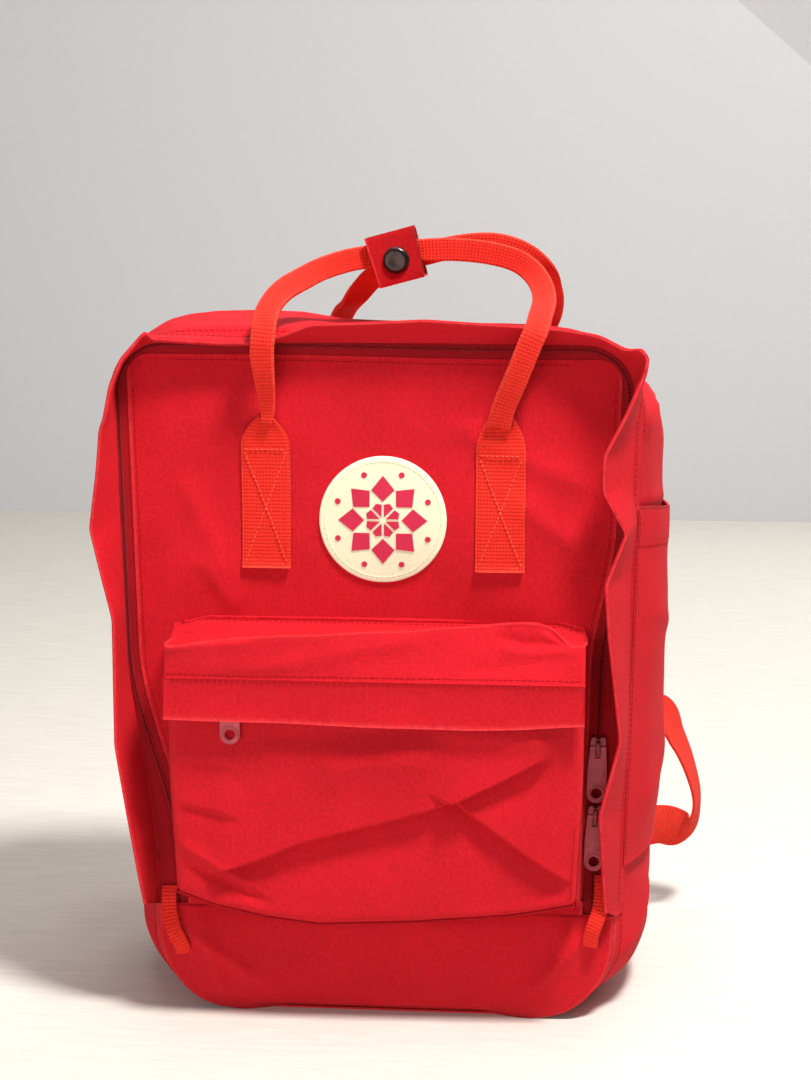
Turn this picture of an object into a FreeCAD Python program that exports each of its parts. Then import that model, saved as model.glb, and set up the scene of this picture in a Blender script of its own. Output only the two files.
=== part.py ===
import FreeCAD, Part
import math
import os
import types

import Sketcher
from FreeCAD import Placement, Rotation, Vector

# A boxy canvas daypack. Millimetres, +Z up, the front faces -Y. The origin is the middle of the
# flat base. Every size below becomes a cell of the sheet "Sizes", and the features read the cells.
DIMENSIONS = {
    # The filled bag: width across the seams at the front and back, and across the swollen middle.
    "bag_height": (382, "base to the crown of the top"),
    "bag_depth": (130, "front seam to back seam"),
    "crown": (13, "rise of the top between its seams"),
    "front_top_width": (268, "front seam to seam, at the top"),
    "front_base_width": (252, "front seam to seam, at the base"),
    "belly_top_width": (302, "widest part, at the top"),
    "belly_base_width": (296, "widest part, at the base"),
    "back_top_width": (270, "back seam to seam, at the top"),
    "back_base_width": (266, "back seam to seam, at the base"),
    "top_corner": (34, "radius of the two top corners"),
    "base_corner": (45, "radius of the two base corners"),
    "base_trim": (0.1, "depth that is cut away to leave the base flat"),
    "base_swell": (4.4, "how far the front of the base swells forward"),
    "base_swell_side": (30, "its swollen part to the side of the bag"),
    "base_swell_bottom": (5, "lower edge of its swollen part"),
    "base_swell_rim": (3, "its swollen part to the fold"),
    "base_swell_slope": (16, "width of the slopes round its fullest part"),
    "cloth": (1.2, "thickness of the doubled canvas"),
    "base_seam": (88, "height of the seam between base and gusset"),
    "fold_height": (60, "height of the line that the front opens about"),
    "fit": (0.3, "clearance between pieces that move past each other"),
    # Storm flap and main zip, measured inwards from the front seam.
    "flap_reach": (22, "how far the storm flap stands forward"),
    "flap_top_reach": (8, "the same, along the top"),
    "flap_lean_low": (9, "how far its left side leans out at its lower end"),
    "flap_lean_high": (15, "the same, at the top corner"),
    "flap_lean_in": (4.5, "how far its right side leans in"),
    "flap_lift": (8, "how far its free edge rises along the top"),
    "flap_notch_width": (196, "length of the shallow stretch along the top"),
    "flap_notch_drop": (16, "height of the cut for the shallow stretch"),
    "zip_end": (64, "height where the main zip stops"),
    "tape_width": (8.9, "gusset tape, from flap to coil"),
    "tape_edge": (2.9, "panel tape, from coil to panel"),
    "tape_thickness": (0.8, "zip tape"),
    "coil_width": (1.5, "one half of the zip chain"),
    "coil_gap": (1.4, "room between the two halves"),
    "coil_thickness": (2.2, "zip chain, front to back"),
    # Zip sliders and pulls.
    "slider_width": (9.2, "slider across the chain"),
    "slider_length": (13, "slider along the chain"),
    "slider_plate": (1.0, "each plate of the slider"),
    "slider_neck": (3, "length of the neck between the plates"),
    "bridge_length": (8, "bridge that holds the pull"),
    "bridge_bar": (1.0, "thickness of the bridge"),
    "bridge_width": (2.4, "width of the bridge"),
    "bridge_room": (1.7, "room under the bridge"),
    "pull_width": (11, "zip pull"),
    "pull_length": (31, "zip pull"),
    "pull_thickness": (1.0, "zip pull"),
    "pull_window": (5.2, "window of the pull that takes the bridge"),
    "pull_hole": (5.5, "round hole at the free end"),
    "lower_slider_height": (118, "where the lower slider is parked"),
    "slider_spare": (2, "lower slider to the pull that hangs above it"),
    # Front pocket.
    "pocket_side_gap": (0.3, "sides of the pocket to the pulls that hang beside it"),
    "pocket_bottom": (68, "height of its lower edge"),
    "pocket_depth": (28.8, "how far it stands out"),
    "pocket_ledge": (200, "height of the ledge over its zip"),
    "pocket_crest": (222, "height of its top edge"),
    "pocket_overhang": (6.4, "how far its top stands out past its front"),
    "pocket_lip": (187, "height where the zip tape starts"),
    "pocket_rounding": (9, "corner rounding"),
    "pocket_coil_middle": (194, "height of the pocket zip"),
    "pocket_zip_margin": (7.5, "side of the pocket to the end of its zip"),
    "pocket_slider_inset": (22, "end of the zip to the middle of the parked slider"),
    "pocket_flap_drop": (23, "length of the flap over the zip"),
    "post_radius": (1.3, "post that holds the pocket pull"),
    "post_head_radius": (2.5, "head of that post"),
    "post_head": (0.9, "thickness of that head"),
    # Side pockets.
    "side_pocket_top": (275, "height of the mouth"),
    "side_pocket_fullness": (7, "how far the middle stands off the gusset"),
    "side_pocket_swell": (36, "height over which it swells from the base seam"),
    "side_pocket_span": (100, "front edge to back edge"),
    # Badge.
    "badge_radius": (34.3, "round badge"),
    "badge_height": (281, "height of its middle"),
    "badge_thickness": (1.4, "round badge"),
    # Webbing and handles.
    "webbing_width": (26, "flat webbing"),
    "webbing_thickness": (1.8, "flat webbing"),
    "handle_spread": (126, "middle of one neck to the other"),
    "patch_bottom": (254, "lower edge of the sewn patches"),
    "patch_top": (318, "upper edge of the full width"),
    "neck_height": (327, "height of the necks"),
    "neck_reach": (1.0, "face of a patch to the middle of the grip"),
    "grip_width": (13, "webbing folded in half for the grip"),
    "grip_thickness": (4, "the same, front to back"),
    "grip_gap": (2, "between the two handles at the keeper"),
    "handle_bow": (8.5, "how far the legs lean forward at the top of the bag"),
    "handle_bend": (378, "height where the legs bend inwards over the bag"),
    "handle_upright": (396, "height above which the grips stand upright"),
    "handle_crest": (428, "height of the highest point of the middle line"),
    "handle_shoulder": (404, "height of the two shoulders of the arch"),
    "front_left_shoulder": (-66, "left shoulder of the front arch"),
    "front_crest_place": (56, "where the front arch is highest"),
    "front_right_shoulder": (92, "right shoulder of the front arch"),
    "rear_left_shoulder": (-27, "left shoulder of the rear arch"),
    "rear_crest_place": (60, "where the rear arch is highest"),
    "rear_right_shoulder": (96, "right shoulder of the rear arch"),
    "handle_rounding": (24, "bend radius of the arch"),
    "handle_bend_radius": (12, "bend radius of the legs"),
    # Keeper that buttons the two handles together.
    "keeper_width": (29, "along the handles"),
    "keeper_height": (30.4, "across the handles"),
    "keeper_place": (2, "to the right of the middle"),
    "keeper_middle": (417.4, "height of its middle"),
    "keeper_tilt": (12, "degrees that it is tilted with the handles"),
    "keeper_inner": (6.4, "middle plane to the inner leaf"),
    "keeper_inner_top": (6, "middle to the upper end of the inner leaf"),
    "keeper_outer": (10.2, "middle plane to the outer leaf"),
    "keeper_back": (5.8, "middle plane to the back wall"),
    "snap_radius": (7.5, "cap of the press stud"),
    "snap_dome": (2.4, "height of the cap"),
    "snap_socket_radius": (5, "socket behind the cap"),
    "snap_stud_radius": (2, "stud"),
    "snap_flange_radius": (4.5, "flange of the stud"),
    "snap_flange": (0.8, "thickness of that flange"),
    "snap_neck_radius": (1.5, "rivet through each leaf"),
    # Base loops.
    "loop_width": (12, "base loop"),
    "loop_place": (117, "middle plane of the bag to the loop"),
    "loop_bottom": (28, "lower end"),
    "loop_top": (58, "upper end"),
    "loop_foot": (6, "length of each sewn foot"),
    "loop_rise": (7, "how far the loop stands off"),
    # Shoulder straps.
    "strap_top_place": (24, "middle plane to the top anchor"),
    "strap_top_height": (330, "top anchor"),
    "strap_bottom_place": (112, "middle plane to the bottom anchor"),
    "strap_bottom_height": (50, "bottom anchor"),
    "strap_swing": (79, "line through the anchors to the far bend"),
    "strap_drop": (327, "top anchor to the far bend, along that line"),
    "strap_right_angle": (26, "degrees that the right strap stands off the back"),
    "strap_left_angle": (60, "degrees that the left strap stands off the back"),
    "anchor_length": (40, "sewn patch at the top anchor"),
    "anchor_width": (26, "sewn patch at the top anchor"),
    "tab_length": (34, "sewn tab at the bottom anchor"),
    "tab_width": (30, "sewn tab at the bottom anchor"),
    "adjuster_place": (215, "top anchor to the adjuster, along the strap"),
    "adjuster_length": (17, "along the strap"),
    "adjuster_rim": (3, "rim beside the webbing"),
    "adjuster_thickness": (5.6, "through the webbing"),
    # Inside.
    "sleeve_width": (242, "sleeve for the seat pad"),
    "sleeve_bottom": (12, "its lower edge"),
    "sleeve_top": (300, "its mouth"),
    "sleeve_corner": (20, "radius of its two lower corners"),
    "sleeve_room": (11, "room between back panel and sleeve"),
    "pad_height": (302, "foam seat pad"),
    "pad_thickness": (9.5, "foam seat pad"),
    "pad_corner": (20, "foam seat pad"),
    "binding_width": (10, "seam binding, front to back"),
    "binding_thickness": (1.0, "seam binding"),
    "label_width": (60, "blank name label"),
    "label_height": (35, "blank name label"),
    "label_bottom": (232, "its lower edge"),
    "label_thickness": (0.6, "blank name label"),
}

doc = FreeCAD.newDocument("Backpack")
NODES = []


# ---------------------------------------------------------------- sizes

class Size:
    """A length that is both an expression over the sheet's cells and the number it gives now."""

    def __init__(self, text, value):
        self.text = text
        self.value = value

    def __add__(self, other):
        return combine(self, other, "+", self.value + number(other))

    def __radd__(self, other):
        return combine(other, self, "+", number(other) + self.value)

    def __sub__(self, other):
        return combine(self, other, "-", self.value - number(other))

    def __rsub__(self, other):
        return combine(other, self, "-", number(other) - self.value)

    def __mul__(self, other):
        return combine(self, other, "*", self.value * number(other))

    def __rmul__(self, other):
        return combine(other, self, "*", number(other) * self.value)

    def __truediv__(self, other):
        return combine(self, other, "/", self.value / number(other))

    def __neg__(self):
        return Size("(0 - %s)" % self.text, -self.value)


def number(size):
    """The number behind a size."""
    return size.value if isinstance(size, Size) else float(size)


def text_of(size):
    """The expression behind a size."""
    return size.text if isinstance(size, Size) else repr(float(size))


def combine(left, right, sign, value):
    return Size("(%s %s %s)" % (text_of(left), sign, text_of(right)), value)


def write_sheet():
    """Put every driving dimension into the sheet and return them as sizes."""
    sheet = doc.addObject("Spreadsheet::Sheet", "Sizes")
    for row, (name, (value, note)) in enumerate(DIMENSIONS.items(), start=1):
        sheet.set("A%d" % row, name.replace("_", " "))
        sheet.set("B%d" % row, str(value))
        sheet.setAlias("B%d" % row, name)
        sheet.set("C%d" % row, note)
    doc.recompute()
    return types.SimpleNamespace(**{name: Size("Sizes." + name, float(sheet.get(name)))
                                    for name in DIMENSIONS})


S = write_sheet()


def bind(thing, **sizes):
    """Drive properties by sizes; a double underscore stands for a dot."""
    for path, size in sizes.items():
        thing.setExpression(path.replace("__", "."), text_of(size))


def smaller(first, second):
    """The smaller of two sizes, whatever the sheet says."""
    text = "min(%s; %s)" % (text_of(first), text_of(second))
    return Size(text, min(number(first), number(second)))


def vector(x, y, z):
    """A point or offset from three sizes."""
    return Vector(number(x), number(y), number(z))


# ---------------------------------------------------------------- sketches and features

def new_body(label):
    """An empty body whose label names the piece."""
    body = doc.addObject("PartDesign::Body", label)
    body.Label = label
    NODES.append(body)
    return body


def new_sketch(body, name, role="XZ_Plane", offset=0):
    """A sketch on one of the body's origin planes, moved along the plane's normal."""
    sketch = body.newObject("Sketcher::SketchObject", body.Label + name)
    plane = next(item for item in body.Origin.OriginFeatures if item.Role == role)
    sketch.AttachmentSupport = [(plane, "")]
    sketch.MapMode = "FlatFace"
    bind(sketch, AttachmentOffset__Base__z=offset)
    return sketch


def constrain(sketch, size, kind, *parts):
    """Add a dimension to a sketch and drive it by a size."""
    index = sketch.addConstraint(Sketcher.Constraint(kind, *parts, number(size)))
    sketch.setExpression("Constraints[%d]" % index, text_of(size))


def hold_point(sketch, geometry, vertex, across, up):
    """Hold a point of a sketch at two sizes."""
    constrain(sketch, across, "DistanceX", -1, 1, geometry, vertex)
    constrain(sketch, up, "DistanceY", -1, 1, geometry, vertex)


def polygon(sketch, corners, radii=None):
    """A closed polygon with its corners at pairs of sizes. A radius rounds its corner, and a
    radius of None leaves it sharp."""
    count = len(corners)
    first = sketch.GeometryCount
    radii = radii or [None] * count
    points = [vector(across, up, 0) for across, up in corners]
    cuts = [corner_cut(points[i - 1], points[i], points[(i + 1) % count], number(radii[i]))
            if radii[i] else (points[i],) * 3 for i in range(count)]
    for i in range(count):
        sketch.addGeometry(Part.LineSegment(cuts[i][2], cuts[(i + 1) % count][0]))
    for i, (across, up) in enumerate(corners):
        before, after = first + (i - 1) % count, first + i
        if radii[i] is None:
            sketch.addConstraint(Sketcher.Constraint("Coincident", before, 2, after, 1))
            hold_point(sketch, after, 1, across, up)
            continue
        mark = sketch.addGeometry(Part.Point(points[i]), True)
        hold_point(sketch, mark, 1, across, up)
        sketch.addConstraint(Sketcher.Constraint("PointOnObject", mark, 1, before))
        sketch.addConstraint(Sketcher.Constraint("PointOnObject", mark, 1, after))
        bend = sketch.addGeometry(Part.Arc(*cuts[i]))
        starts_here = (sketch.Geometry[bend].StartPoint - cuts[i][0]).Length < 1e-6
        ends = (1, 2) if starts_here else (2, 1)
        sketch.addConstraint(Sketcher.Constraint("Tangent", before, 2, bend, ends[0]))
        sketch.addConstraint(Sketcher.Constraint("Tangent", after, 1, bend, ends[1]))
        constrain(sketch, radii[i], "Radius", bend)
    return sketch


def corner_cut(before, corner, after, radius):
    """Start, middle and end of the arc that rounds a corner."""
    back_way = (before - corner).normalize()
    on_way = (after - corner).normalize()
    half = back_way.getAngle(on_way) / 2
    reach = radius / math.tan(half)
    middle = corner + (back_way + on_way).normalize() * (radius / math.sin(half) - radius)
    return corner + back_way * reach, middle, corner + on_way * reach


def rectangle(sketch, left, right, bottom, top, radii=None):
    """A rectangle; the radii start at the bottom left and run to the right."""
    corners = [(left, bottom), (right, bottom), (right, top), (left, top)]
    return polygon(sketch, corners, radii)


def circle(sketch, across, up, radius):
    """A circle with its middle and radius given by sizes."""
    centre = vector(across, up, 0)
    index = sketch.addGeometry(Part.Circle(centre, Vector(0, 0, 1), number(radius)))
    hold_point(sketch, index, 3, across, up)
    constrain(sketch, radius, "Radius", index)
    return sketch


def pad(body, name, sketch, length, reverse=False, middle=False):
    """Raise a sketch into a solid."""
    feature = body.newObject("PartDesign::Pad", body.Label + name)
    return finish(feature, sketch, length, reverse, middle)


def pocket(body, name, sketch, length, reverse=False, middle=False):
    """Cut a sketch out of the body, and make sure that it removes something."""
    before = body.Shape.Volume
    feature = body.newObject("PartDesign::Pocket", body.Label + name)
    finish(feature, sketch, length, reverse, middle)
    if not feature.Shape.Volume < before - 1e-6:
        raise ValueError("%s cuts nothing from %s" % (name, body.Label))
    return feature


def finish(feature, sketch, length, reverse, middle):
    feature.Profile = sketch
    bind(feature, Length=length)
    feature.Reversed = reverse
    if middle:
        feature.SideType = "Symmetric"
    doc.recompute()
    return feature


def turn(body, name, sketch, axis="V_Axis"):
    """Revolve a sketch into a solid."""
    feature = body.newObject("PartDesign::Revolution", body.Label + name)
    feature.Profile = sketch
    feature.ReferenceAxis = (sketch, [axis])
    feature.Angle = 360
    doc.recompute()
    return feature


def loft(body, name, sketches, kind="Additive"):
    """Join sketches on parallel planes into a form that is added or taken away."""
    feature = body.newObject("PartDesign::%sLoft" % kind, body.Label + name)
    feature.Profile = sketches[0]
    feature.Sections = sketches[1:]
    doc.recompute()
    return feature


def tray(label, half, bottom, top, radii, back, depth, open_top=False):
    """A box of cloth that is open behind, and at its top if so asked."""
    body = new_body(label)
    sketch = new_sketch(body, "Outline", "XZ_Plane", -back)
    rectangle(sketch, -half, half, bottom, top, radii)
    pad(body, "Box", sketch, depth)
    sketch = new_sketch(body, "Room", "XZ_Plane", -back)
    rectangle(sketch, S.cloth - half, half - S.cloth, bottom + S.cloth,
              top + 1 if open_top else top - S.cloth,
              [radius - S.cloth if radius else None for radius in radii])
    pocket(body, "RoomCut", sketch, depth - S.cloth, reverse=True)
    return body


def shaped_node(label, shape, placement=None):
    """A piece whose shape is worked out by geometry functions."""
    feature = doc.addObject("Part::Feature", label)
    feature.Label = label
    feature.Shape = shape
    feature.Placement = placement or Placement()
    NODES.append(feature)
    return feature


def box_node(label, left, right, front, back, bottom, top):
    """A plain box between six sizes."""
    box = doc.addObject("Part::Box", label)
    box.Label = label
    bind(box, Length=right - left, Width=back - front, Height=top - bottom,
         Placement__Base__x=left, Placement__Base__y=front, Placement__Base__z=bottom)
    NODES.append(box)
    return box


def ribbon(points, radii, width):
    """The face of a ribbon that follows straight runs and tangent arcs in its own plane."""
    edges = []
    start = points[0]
    for before, corner, after, radius in zip(points, points[1:], points[2:], radii):
        arc_start, middle, arc_end = corner_cut(before, corner, after, number(radius))
        edges.append(Part.LineSegment(start, arc_start).toShape())
        edges.append(Part.Arc(arc_start, middle, arc_end).toShape())
        start = arc_end
    edges.append(Part.LineSegment(start, points[-1]).toShape())
    return Part.Face(Part.Wire(edges).makeOffset2D(number(width) / 2))


# ---------------------------------------------------------------- places that pieces share

FRONT_SEAM = -(S.bag_depth / 2)
BACK_SEAM = S.bag_depth / 2
PANEL_FACE = FRONT_SEAM - S.cloth
BACK_FACE = BACK_SEAM + S.cloth
SEAM_TOP = S.bag_height - S.crown
TAPE_START = S.cloth
COIL_START = TAPE_START + S.tape_width
CHAIN_MIDDLE = COIL_START + S.coil_width + S.coil_gap / 2
PANEL_COIL_START = CHAIN_MIDDLE + S.coil_gap / 2
PANEL_TAPE_START = PANEL_COIL_START + S.coil_width
PANEL_START = PANEL_TAPE_START + S.tape_edge
TAPE_FRONT = FRONT_SEAM - S.tape_thickness
COIL_FRONT = FRONT_SEAM - S.tape_thickness / 2 - S.coil_thickness / 2
POCKET_FACE = PANEL_FACE - S.pocket_depth
POCKET_TOP_FACE = POCKET_FACE - S.pocket_overhang
BACK_PATCH_FACE = BACK_FACE + S.webbing_thickness
SIDES = (("left", -1), ("right", 1))


def half_width(section, height):
    """Half the width of a section of the bag ("front", "belly" or "back") at a height."""
    base = getattr(S, section + "_base_width")
    top = getattr(S, section + "_top_width")
    return (base + (top - base) * height / S.bag_height) / 2


POCKET_HALF = (smaller(half_width("front", S.pocket_bottom), half_width("front", S.pocket_crest))
               - CHAIN_MIDDLE - S.pull_width / 2 - S.pocket_side_gap)
POCKET_ZIP_REACH = POCKET_HALF - S.pocket_zip_margin


def outline(sketch, section, inset, bottom, top, base_radius=None, top_radius=None):
    """The tapering outline of the bag between two heights, moved inwards by an inset."""
    low = half_width(section, bottom) - inset
    high = half_width(section, top) - inset
    return polygon(sketch, [(-low, bottom), (low, bottom), (high, top), (-high, top)],
                   [base_radius, base_radius, top_radius, top_radius])


# ---------------------------------------------------------------- shell of the bag

def bag_form(body, kind, inset, bottom, tops, **radii):
    """The filled form between front seam, belly and back seam, added or taken away."""
    sketches = []
    for section, offset, top in (("front", BACK_SEAM, tops[0]), ("belly", 0, tops[1]),
                                 ("back", FRONT_SEAM, tops[0])):
        sketch = new_sketch(body, kind + section, "XZ_Plane", offset)
        sketches.append(outline(sketch, section, inset, bottom, top, **radii))
    return loft(body, kind + "Form", sketches, kind)


def make_gusset():
    """The sides and the top: one strip of canvas, swollen between its two seams."""
    body = new_body("gusset")
    bag_form(body, "Additive", 0, S.base_seam, (SEAM_TOP, S.bag_height), top_radius=S.top_corner)
    bag_form(body, "Subtractive", S.cloth, S.base_seam - 1,
             (SEAM_TOP - S.cloth, S.bag_height - S.cloth), top_radius=S.top_corner - S.cloth)


def make_base():
    """The tub: flat base, lower sides and the lip below the opening."""
    body = new_body("base_panel")
    rim = S.base_seam + 1
    bag_form(body, "Additive", 0, -S.base_trim, (S.base_seam, S.base_seam),
             base_radius=S.base_corner)
    sketch = new_sketch(body, "Floor", "XY_Plane")
    side, back = half_width("belly", 0) + 1, BACK_SEAM + 1
    rectangle(sketch, -side, side, -back, back)
    pocket(body, "FloorCut", sketch, S.base_trim)
    bag_form(body, "Subtractive", S.cloth, S.cloth, (rim, rim),
             base_radius=S.base_corner - S.cloth)
    sketch = new_sketch(body, "Lip", "XZ_Plane", BACK_SEAM)
    outline(sketch, "front", 0, 0, S.fold_height, base_radius=S.base_corner)
    pad(body, "LipPad", sketch, S.cloth)
    base_swelling(body, "Additive", BACK_SEAM + S.cloth)
    base_swelling(body, "Subtractive", BACK_SEAM)


def base_swelling(body, kind, offset):
    """The full front of the base, added to its outer face or taken away behind it."""
    half = half_width("front", 0) - S.base_swell_side
    bottom, top = S.base_swell_bottom, S.fold_height - S.base_swell_rim
    root = new_sketch(body, kind + "Root", "XZ_Plane", offset)
    rectangle(root, -half, half, bottom, top)
    slope = S.base_swell_slope
    crest = new_sketch(body, kind + "Crest", "XZ_Plane", offset + S.base_swell)
    rectangle(crest, slope - half, half - slope, bottom + slope, top - slope)
    loft(body, kind + "Swelling", [root, crest], kind)


def make_back_panel():
    body = new_body("back_panel")
    sketch = new_sketch(body, "Outline", "XZ_Plane", FRONT_SEAM)
    outline(sketch, "back", 0, 0, SEAM_TOP, S.base_corner, S.top_corner)
    pad(body, "Cloth", sketch, S.cloth, reverse=True)


def seam_ring(label, start, end, front, depth, bottom, closed=False):
    """A flat strip that follows the front seam, between two distances in from it."""
    body = new_body(label)
    for name, inset, drop in (("Outer", start, 0), ("Inner", end, 1)):
        sketch = new_sketch(body, name, "XZ_Plane", -front)
        outline(sketch, "front", inset, bottom - drop, SEAM_TOP - inset,
                top_radius=S.top_corner - inset)
        if name == "Outer":
            pad(body, "Strip", sketch, depth, reverse=True)
        else:
            pocket(body, "Opening", sketch, depth)
    return body


def flap_form(body, kind, inset, bottom):
    """The filled form from the front seam to the leaning free edge, added or taken away."""
    top, radius = SEAM_TOP - inset, S.top_corner - inset
    seam = new_sketch(body, kind + "Seam", "XZ_Plane", BACK_SEAM)
    outline(seam, "front", inset, bottom, top, top_radius=radius)
    low, high = half_width("front", bottom) - inset, half_width("front", top) - inset
    edge = new_sketch(body, kind + "Edge", "XZ_Plane", BACK_SEAM + S.flap_reach)
    polygon(edge, [(-low - S.flap_lean_low, bottom), (low - S.flap_lean_in, bottom),
                   (high - S.flap_lean_in, top + S.flap_lift),
                   (-high - S.flap_lean_high, top + S.flap_lift)], [None, None, radius, radius])
    loft(body, kind + "Form", [seam, edge], kind)


def make_storm_flap():
    """The flap that stands forward round the opening. It leans out at the left, in at the right,
    and lies back along the top."""
    body = new_body("storm_flap")
    flap_form(body, "Additive", 0, S.zip_end)
    flap_form(body, "Subtractive", S.cloth, S.zip_end - 1)
    sketch = new_sketch(body, "Shallow", "XZ_Plane", BACK_SEAM + S.flap_top_reach)
    half = S.flap_notch_width / 2
    rectangle(sketch, -half, half, SEAM_TOP - S.flap_notch_drop, SEAM_TOP + S.flap_lift + 1)
    pocket(body, "ShallowCut", sketch, S.flap_reach, reverse=True)


def make_zip():
    """The two tapes and the two halves of the chain of the main zip."""
    seam_ring("gusset_zip_tape", TAPE_START, COIL_START, TAPE_FRONT, S.tape_thickness, S.zip_end)
    seam_ring("gusset_zip_coil", COIL_START, COIL_START + S.coil_width, COIL_FRONT,
              S.coil_thickness, S.zip_end)
    seam_ring("panel_zip_coil", PANEL_COIL_START, PANEL_TAPE_START, COIL_FRONT,
              S.coil_thickness, S.zip_end)
    seam_ring("panel_zip_tape", PANEL_TAPE_START, PANEL_START, TAPE_FRONT, S.tape_thickness,
              S.zip_end)


def make_front_panel():
    body = new_body("front_panel")
    sketch = new_sketch(body, "Outline", "XZ_Plane", BACK_SEAM)
    outline(sketch, "front", PANEL_START, S.fold_height + S.fit, SEAM_TOP - PANEL_START,
            top_radius=S.top_corner - PANEL_START)
    pad(body, "Cloth", sketch, S.cloth)


def make_seam_binding():
    """The tape that binds the seam allowance inside the back of the bag."""
    body = new_body("seam_binding")
    lining = S.cloth + S.fit
    inner = lining + S.binding_thickness
    for name, inset in (("Outer", lining), ("Inner", inner)):
        sketch = new_sketch(body, name, "XZ_Plane", FRONT_SEAM)
        outline(sketch, "back", inset, inset, SEAM_TOP - inset, S.base_corner - inset,
                S.top_corner - inset)
        if name == "Outer":
            pad(body, "Strip", sketch, S.binding_width)
        else:
            pocket(body, "Opening", sketch, S.binding_width, reverse=True)


# ---------------------------------------------------------------- pockets

def make_side_pocket(side, way):
    """A slip pocket on the gusset, sewn down along both edges and its base."""
    body = new_body("side_pocket_" + side)
    sketches = []
    low, swell, top = S.base_seam + S.fit, S.base_seam + S.side_pocket_swell, S.side_pocket_top
    edge = S.side_pocket_span / S.bag_depth
    for name, place in (("Front", 1), ("Middle", 0), ("Back", -1)):
        sketch = new_sketch(body, name, "XZ_Plane", place * S.side_pocket_span / 2)
        seam = "front" if place > 0 else "back"
        fullness = S.side_pocket_fullness if place == 0 else S.fit * 2
        profile = []
        for height, gap in ((low, S.fit * 2), (swell, fullness), (top, fullness)):
            belly = half_width("belly", height)
            sink = (belly - half_width(seam, height)) * edge * edge * abs(place)
            profile.append((belly - sink + gap, height))
        outer = [(across + S.cloth, up) for across, up in reversed(profile)]
        polygon(sketch, [(way * across, up) for across, up in profile + outer])
        sketches.append(sketch)
    loft(body, "Cloth", sketches)


def make_front_pocket():
    """The patch pocket: its box, the ledge and band above its zip, and the zip itself."""
    half = POCKET_HALF
    body = tray("pocket_body", half, S.pocket_bottom, S.pocket_ledge,
                [S.pocket_rounding, S.pocket_rounding, None, None], PANEL_FACE, S.pocket_depth,
                open_top=True)
    sketch = new_sketch(body, "Mouth", "XZ_Plane", -POCKET_FACE)
    rectangle(sketch, S.cloth - half, half - S.cloth, S.pocket_lip, S.pocket_ledge + 1)
    pocket(body, "MouthCut", sketch, S.cloth)

    tray("pocket_top", half, S.pocket_ledge, S.pocket_crest,
         [None, None, S.pocket_rounding, S.pocket_rounding], PANEL_FACE,
         S.pocket_depth + S.pocket_overhang)

    reach = POCKET_ZIP_REACH
    inner_face = POCKET_FACE + S.tape_thickness
    low_coil = S.pocket_coil_middle - S.coil_gap / 2 - S.coil_width
    high_coil = S.pocket_coil_middle + S.coil_gap / 2
    chain_front = POCKET_FACE + S.tape_thickness / 2 - S.coil_thickness / 2
    for name, bottom, top in (("lower", S.pocket_lip, low_coil),
                              ("upper", high_coil + S.coil_width, S.pocket_ledge)):
        box_node("pocket_zip_tape_" + name, -reach, reach, POCKET_FACE, inner_face, bottom, top)
    for name, bottom in (("lower", low_coil), ("upper", high_coil)):
        box_node("pocket_zip_coil_" + name, -reach, reach, chain_front,
                 chain_front + S.coil_thickness, bottom, bottom + S.coil_width)


def make_pocket_flap():
    """The flap that hangs over the pocket's zip, from the stitch line below the band."""
    half = POCKET_HALF
    body = new_body("pocket_flap")
    sketch = new_sketch(body, "Outline", "XZ_Plane", -POCKET_TOP_FACE - S.cloth)
    top = S.pocket_ledge - S.fit
    rectangle(sketch, -half, half, top - S.pocket_flap_drop, top)
    pad(body, "Cloth", sketch, S.cloth)


def make_badge():
    body = new_body("badge")
    sketch = new_sketch(body, "Rim", "XZ_Plane", -PANEL_FACE)
    circle(sketch, 0, S.badge_height, S.badge_radius)
    pad(body, "Disc", sketch, S.badge_thickness)


# ---------------------------------------------------------------- zip sliders and pulls

def make_slider(label, along_x=False, post=False):
    """A slider in its own place: plates before and behind the chain, a neck between its halves,
    and a bridge or a post for the pull. The chain runs along Z, or along X if so asked."""
    body = new_body(label)
    front, back = slider_faces()
    half_across, half_along = S.slider_width / 2, S.slider_length / 2
    neck_half = S.coil_gap / 2 - S.fit

    def area(sketch, across, low, high):
        if along_x:
            return rectangle(sketch, low, high, -across, across)
        return rectangle(sketch, -across, across, low, high)

    rear = new_sketch(body, "RearOutline", "XZ_Plane", -back)
    pad(body, "RearPlate", area(rear, half_across, -half_along, half_along), S.slider_plate,
        reverse=True)
    neck = new_sketch(body, "NeckOutline", "XZ_Plane", -back)
    pad(body, "Neck", area(neck, neck_half, half_along - S.slider_neck, half_along), back - front)
    face = new_sketch(body, "FaceOutline", "XZ_Plane", -front)
    pad(body, "FacePlate", area(face, half_across, -half_along, half_along), S.slider_plate)
    plate = front - S.slider_plate
    if post:
        stem = new_sketch(body, "StemOutline", "XZ_Plane", -plate)
        pad(body, "Stem", circle(stem, 0, 0, S.post_radius), S.bridge_room)
        head = new_sketch(body, "HeadOutline", "XZ_Plane", S.bridge_room - plate)
        pad(body, "Head", circle(head, 0, 0, S.post_head_radius), S.post_head)
        return body
    bridge = new_sketch(body, "BridgeOutline", "YZ_Plane")
    reach = S.bridge_length / 2
    crest = plate - S.bridge_room - S.bridge_bar
    rectangle(bridge, crest, plate, -reach, reach)
    pad(body, "Bridge", bridge, S.bridge_width, middle=True)
    room = new_sketch(body, "BridgeRoom", "YZ_Plane")
    rectangle(room, crest + S.bridge_bar, plate, S.bridge_bar - reach, reach - S.bridge_bar)
    pocket(body, "BridgeRoomCut", room, S.bridge_width, middle=True)
    return body


def slider_faces():
    """Where the plates begin before and behind a chain whose tape lies at zero."""
    front = -(S.tape_thickness / 2 + S.coil_thickness / 2 + S.fit)
    back = S.coil_thickness / 2 - S.tape_thickness / 2 + S.fit
    return front, back


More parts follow.
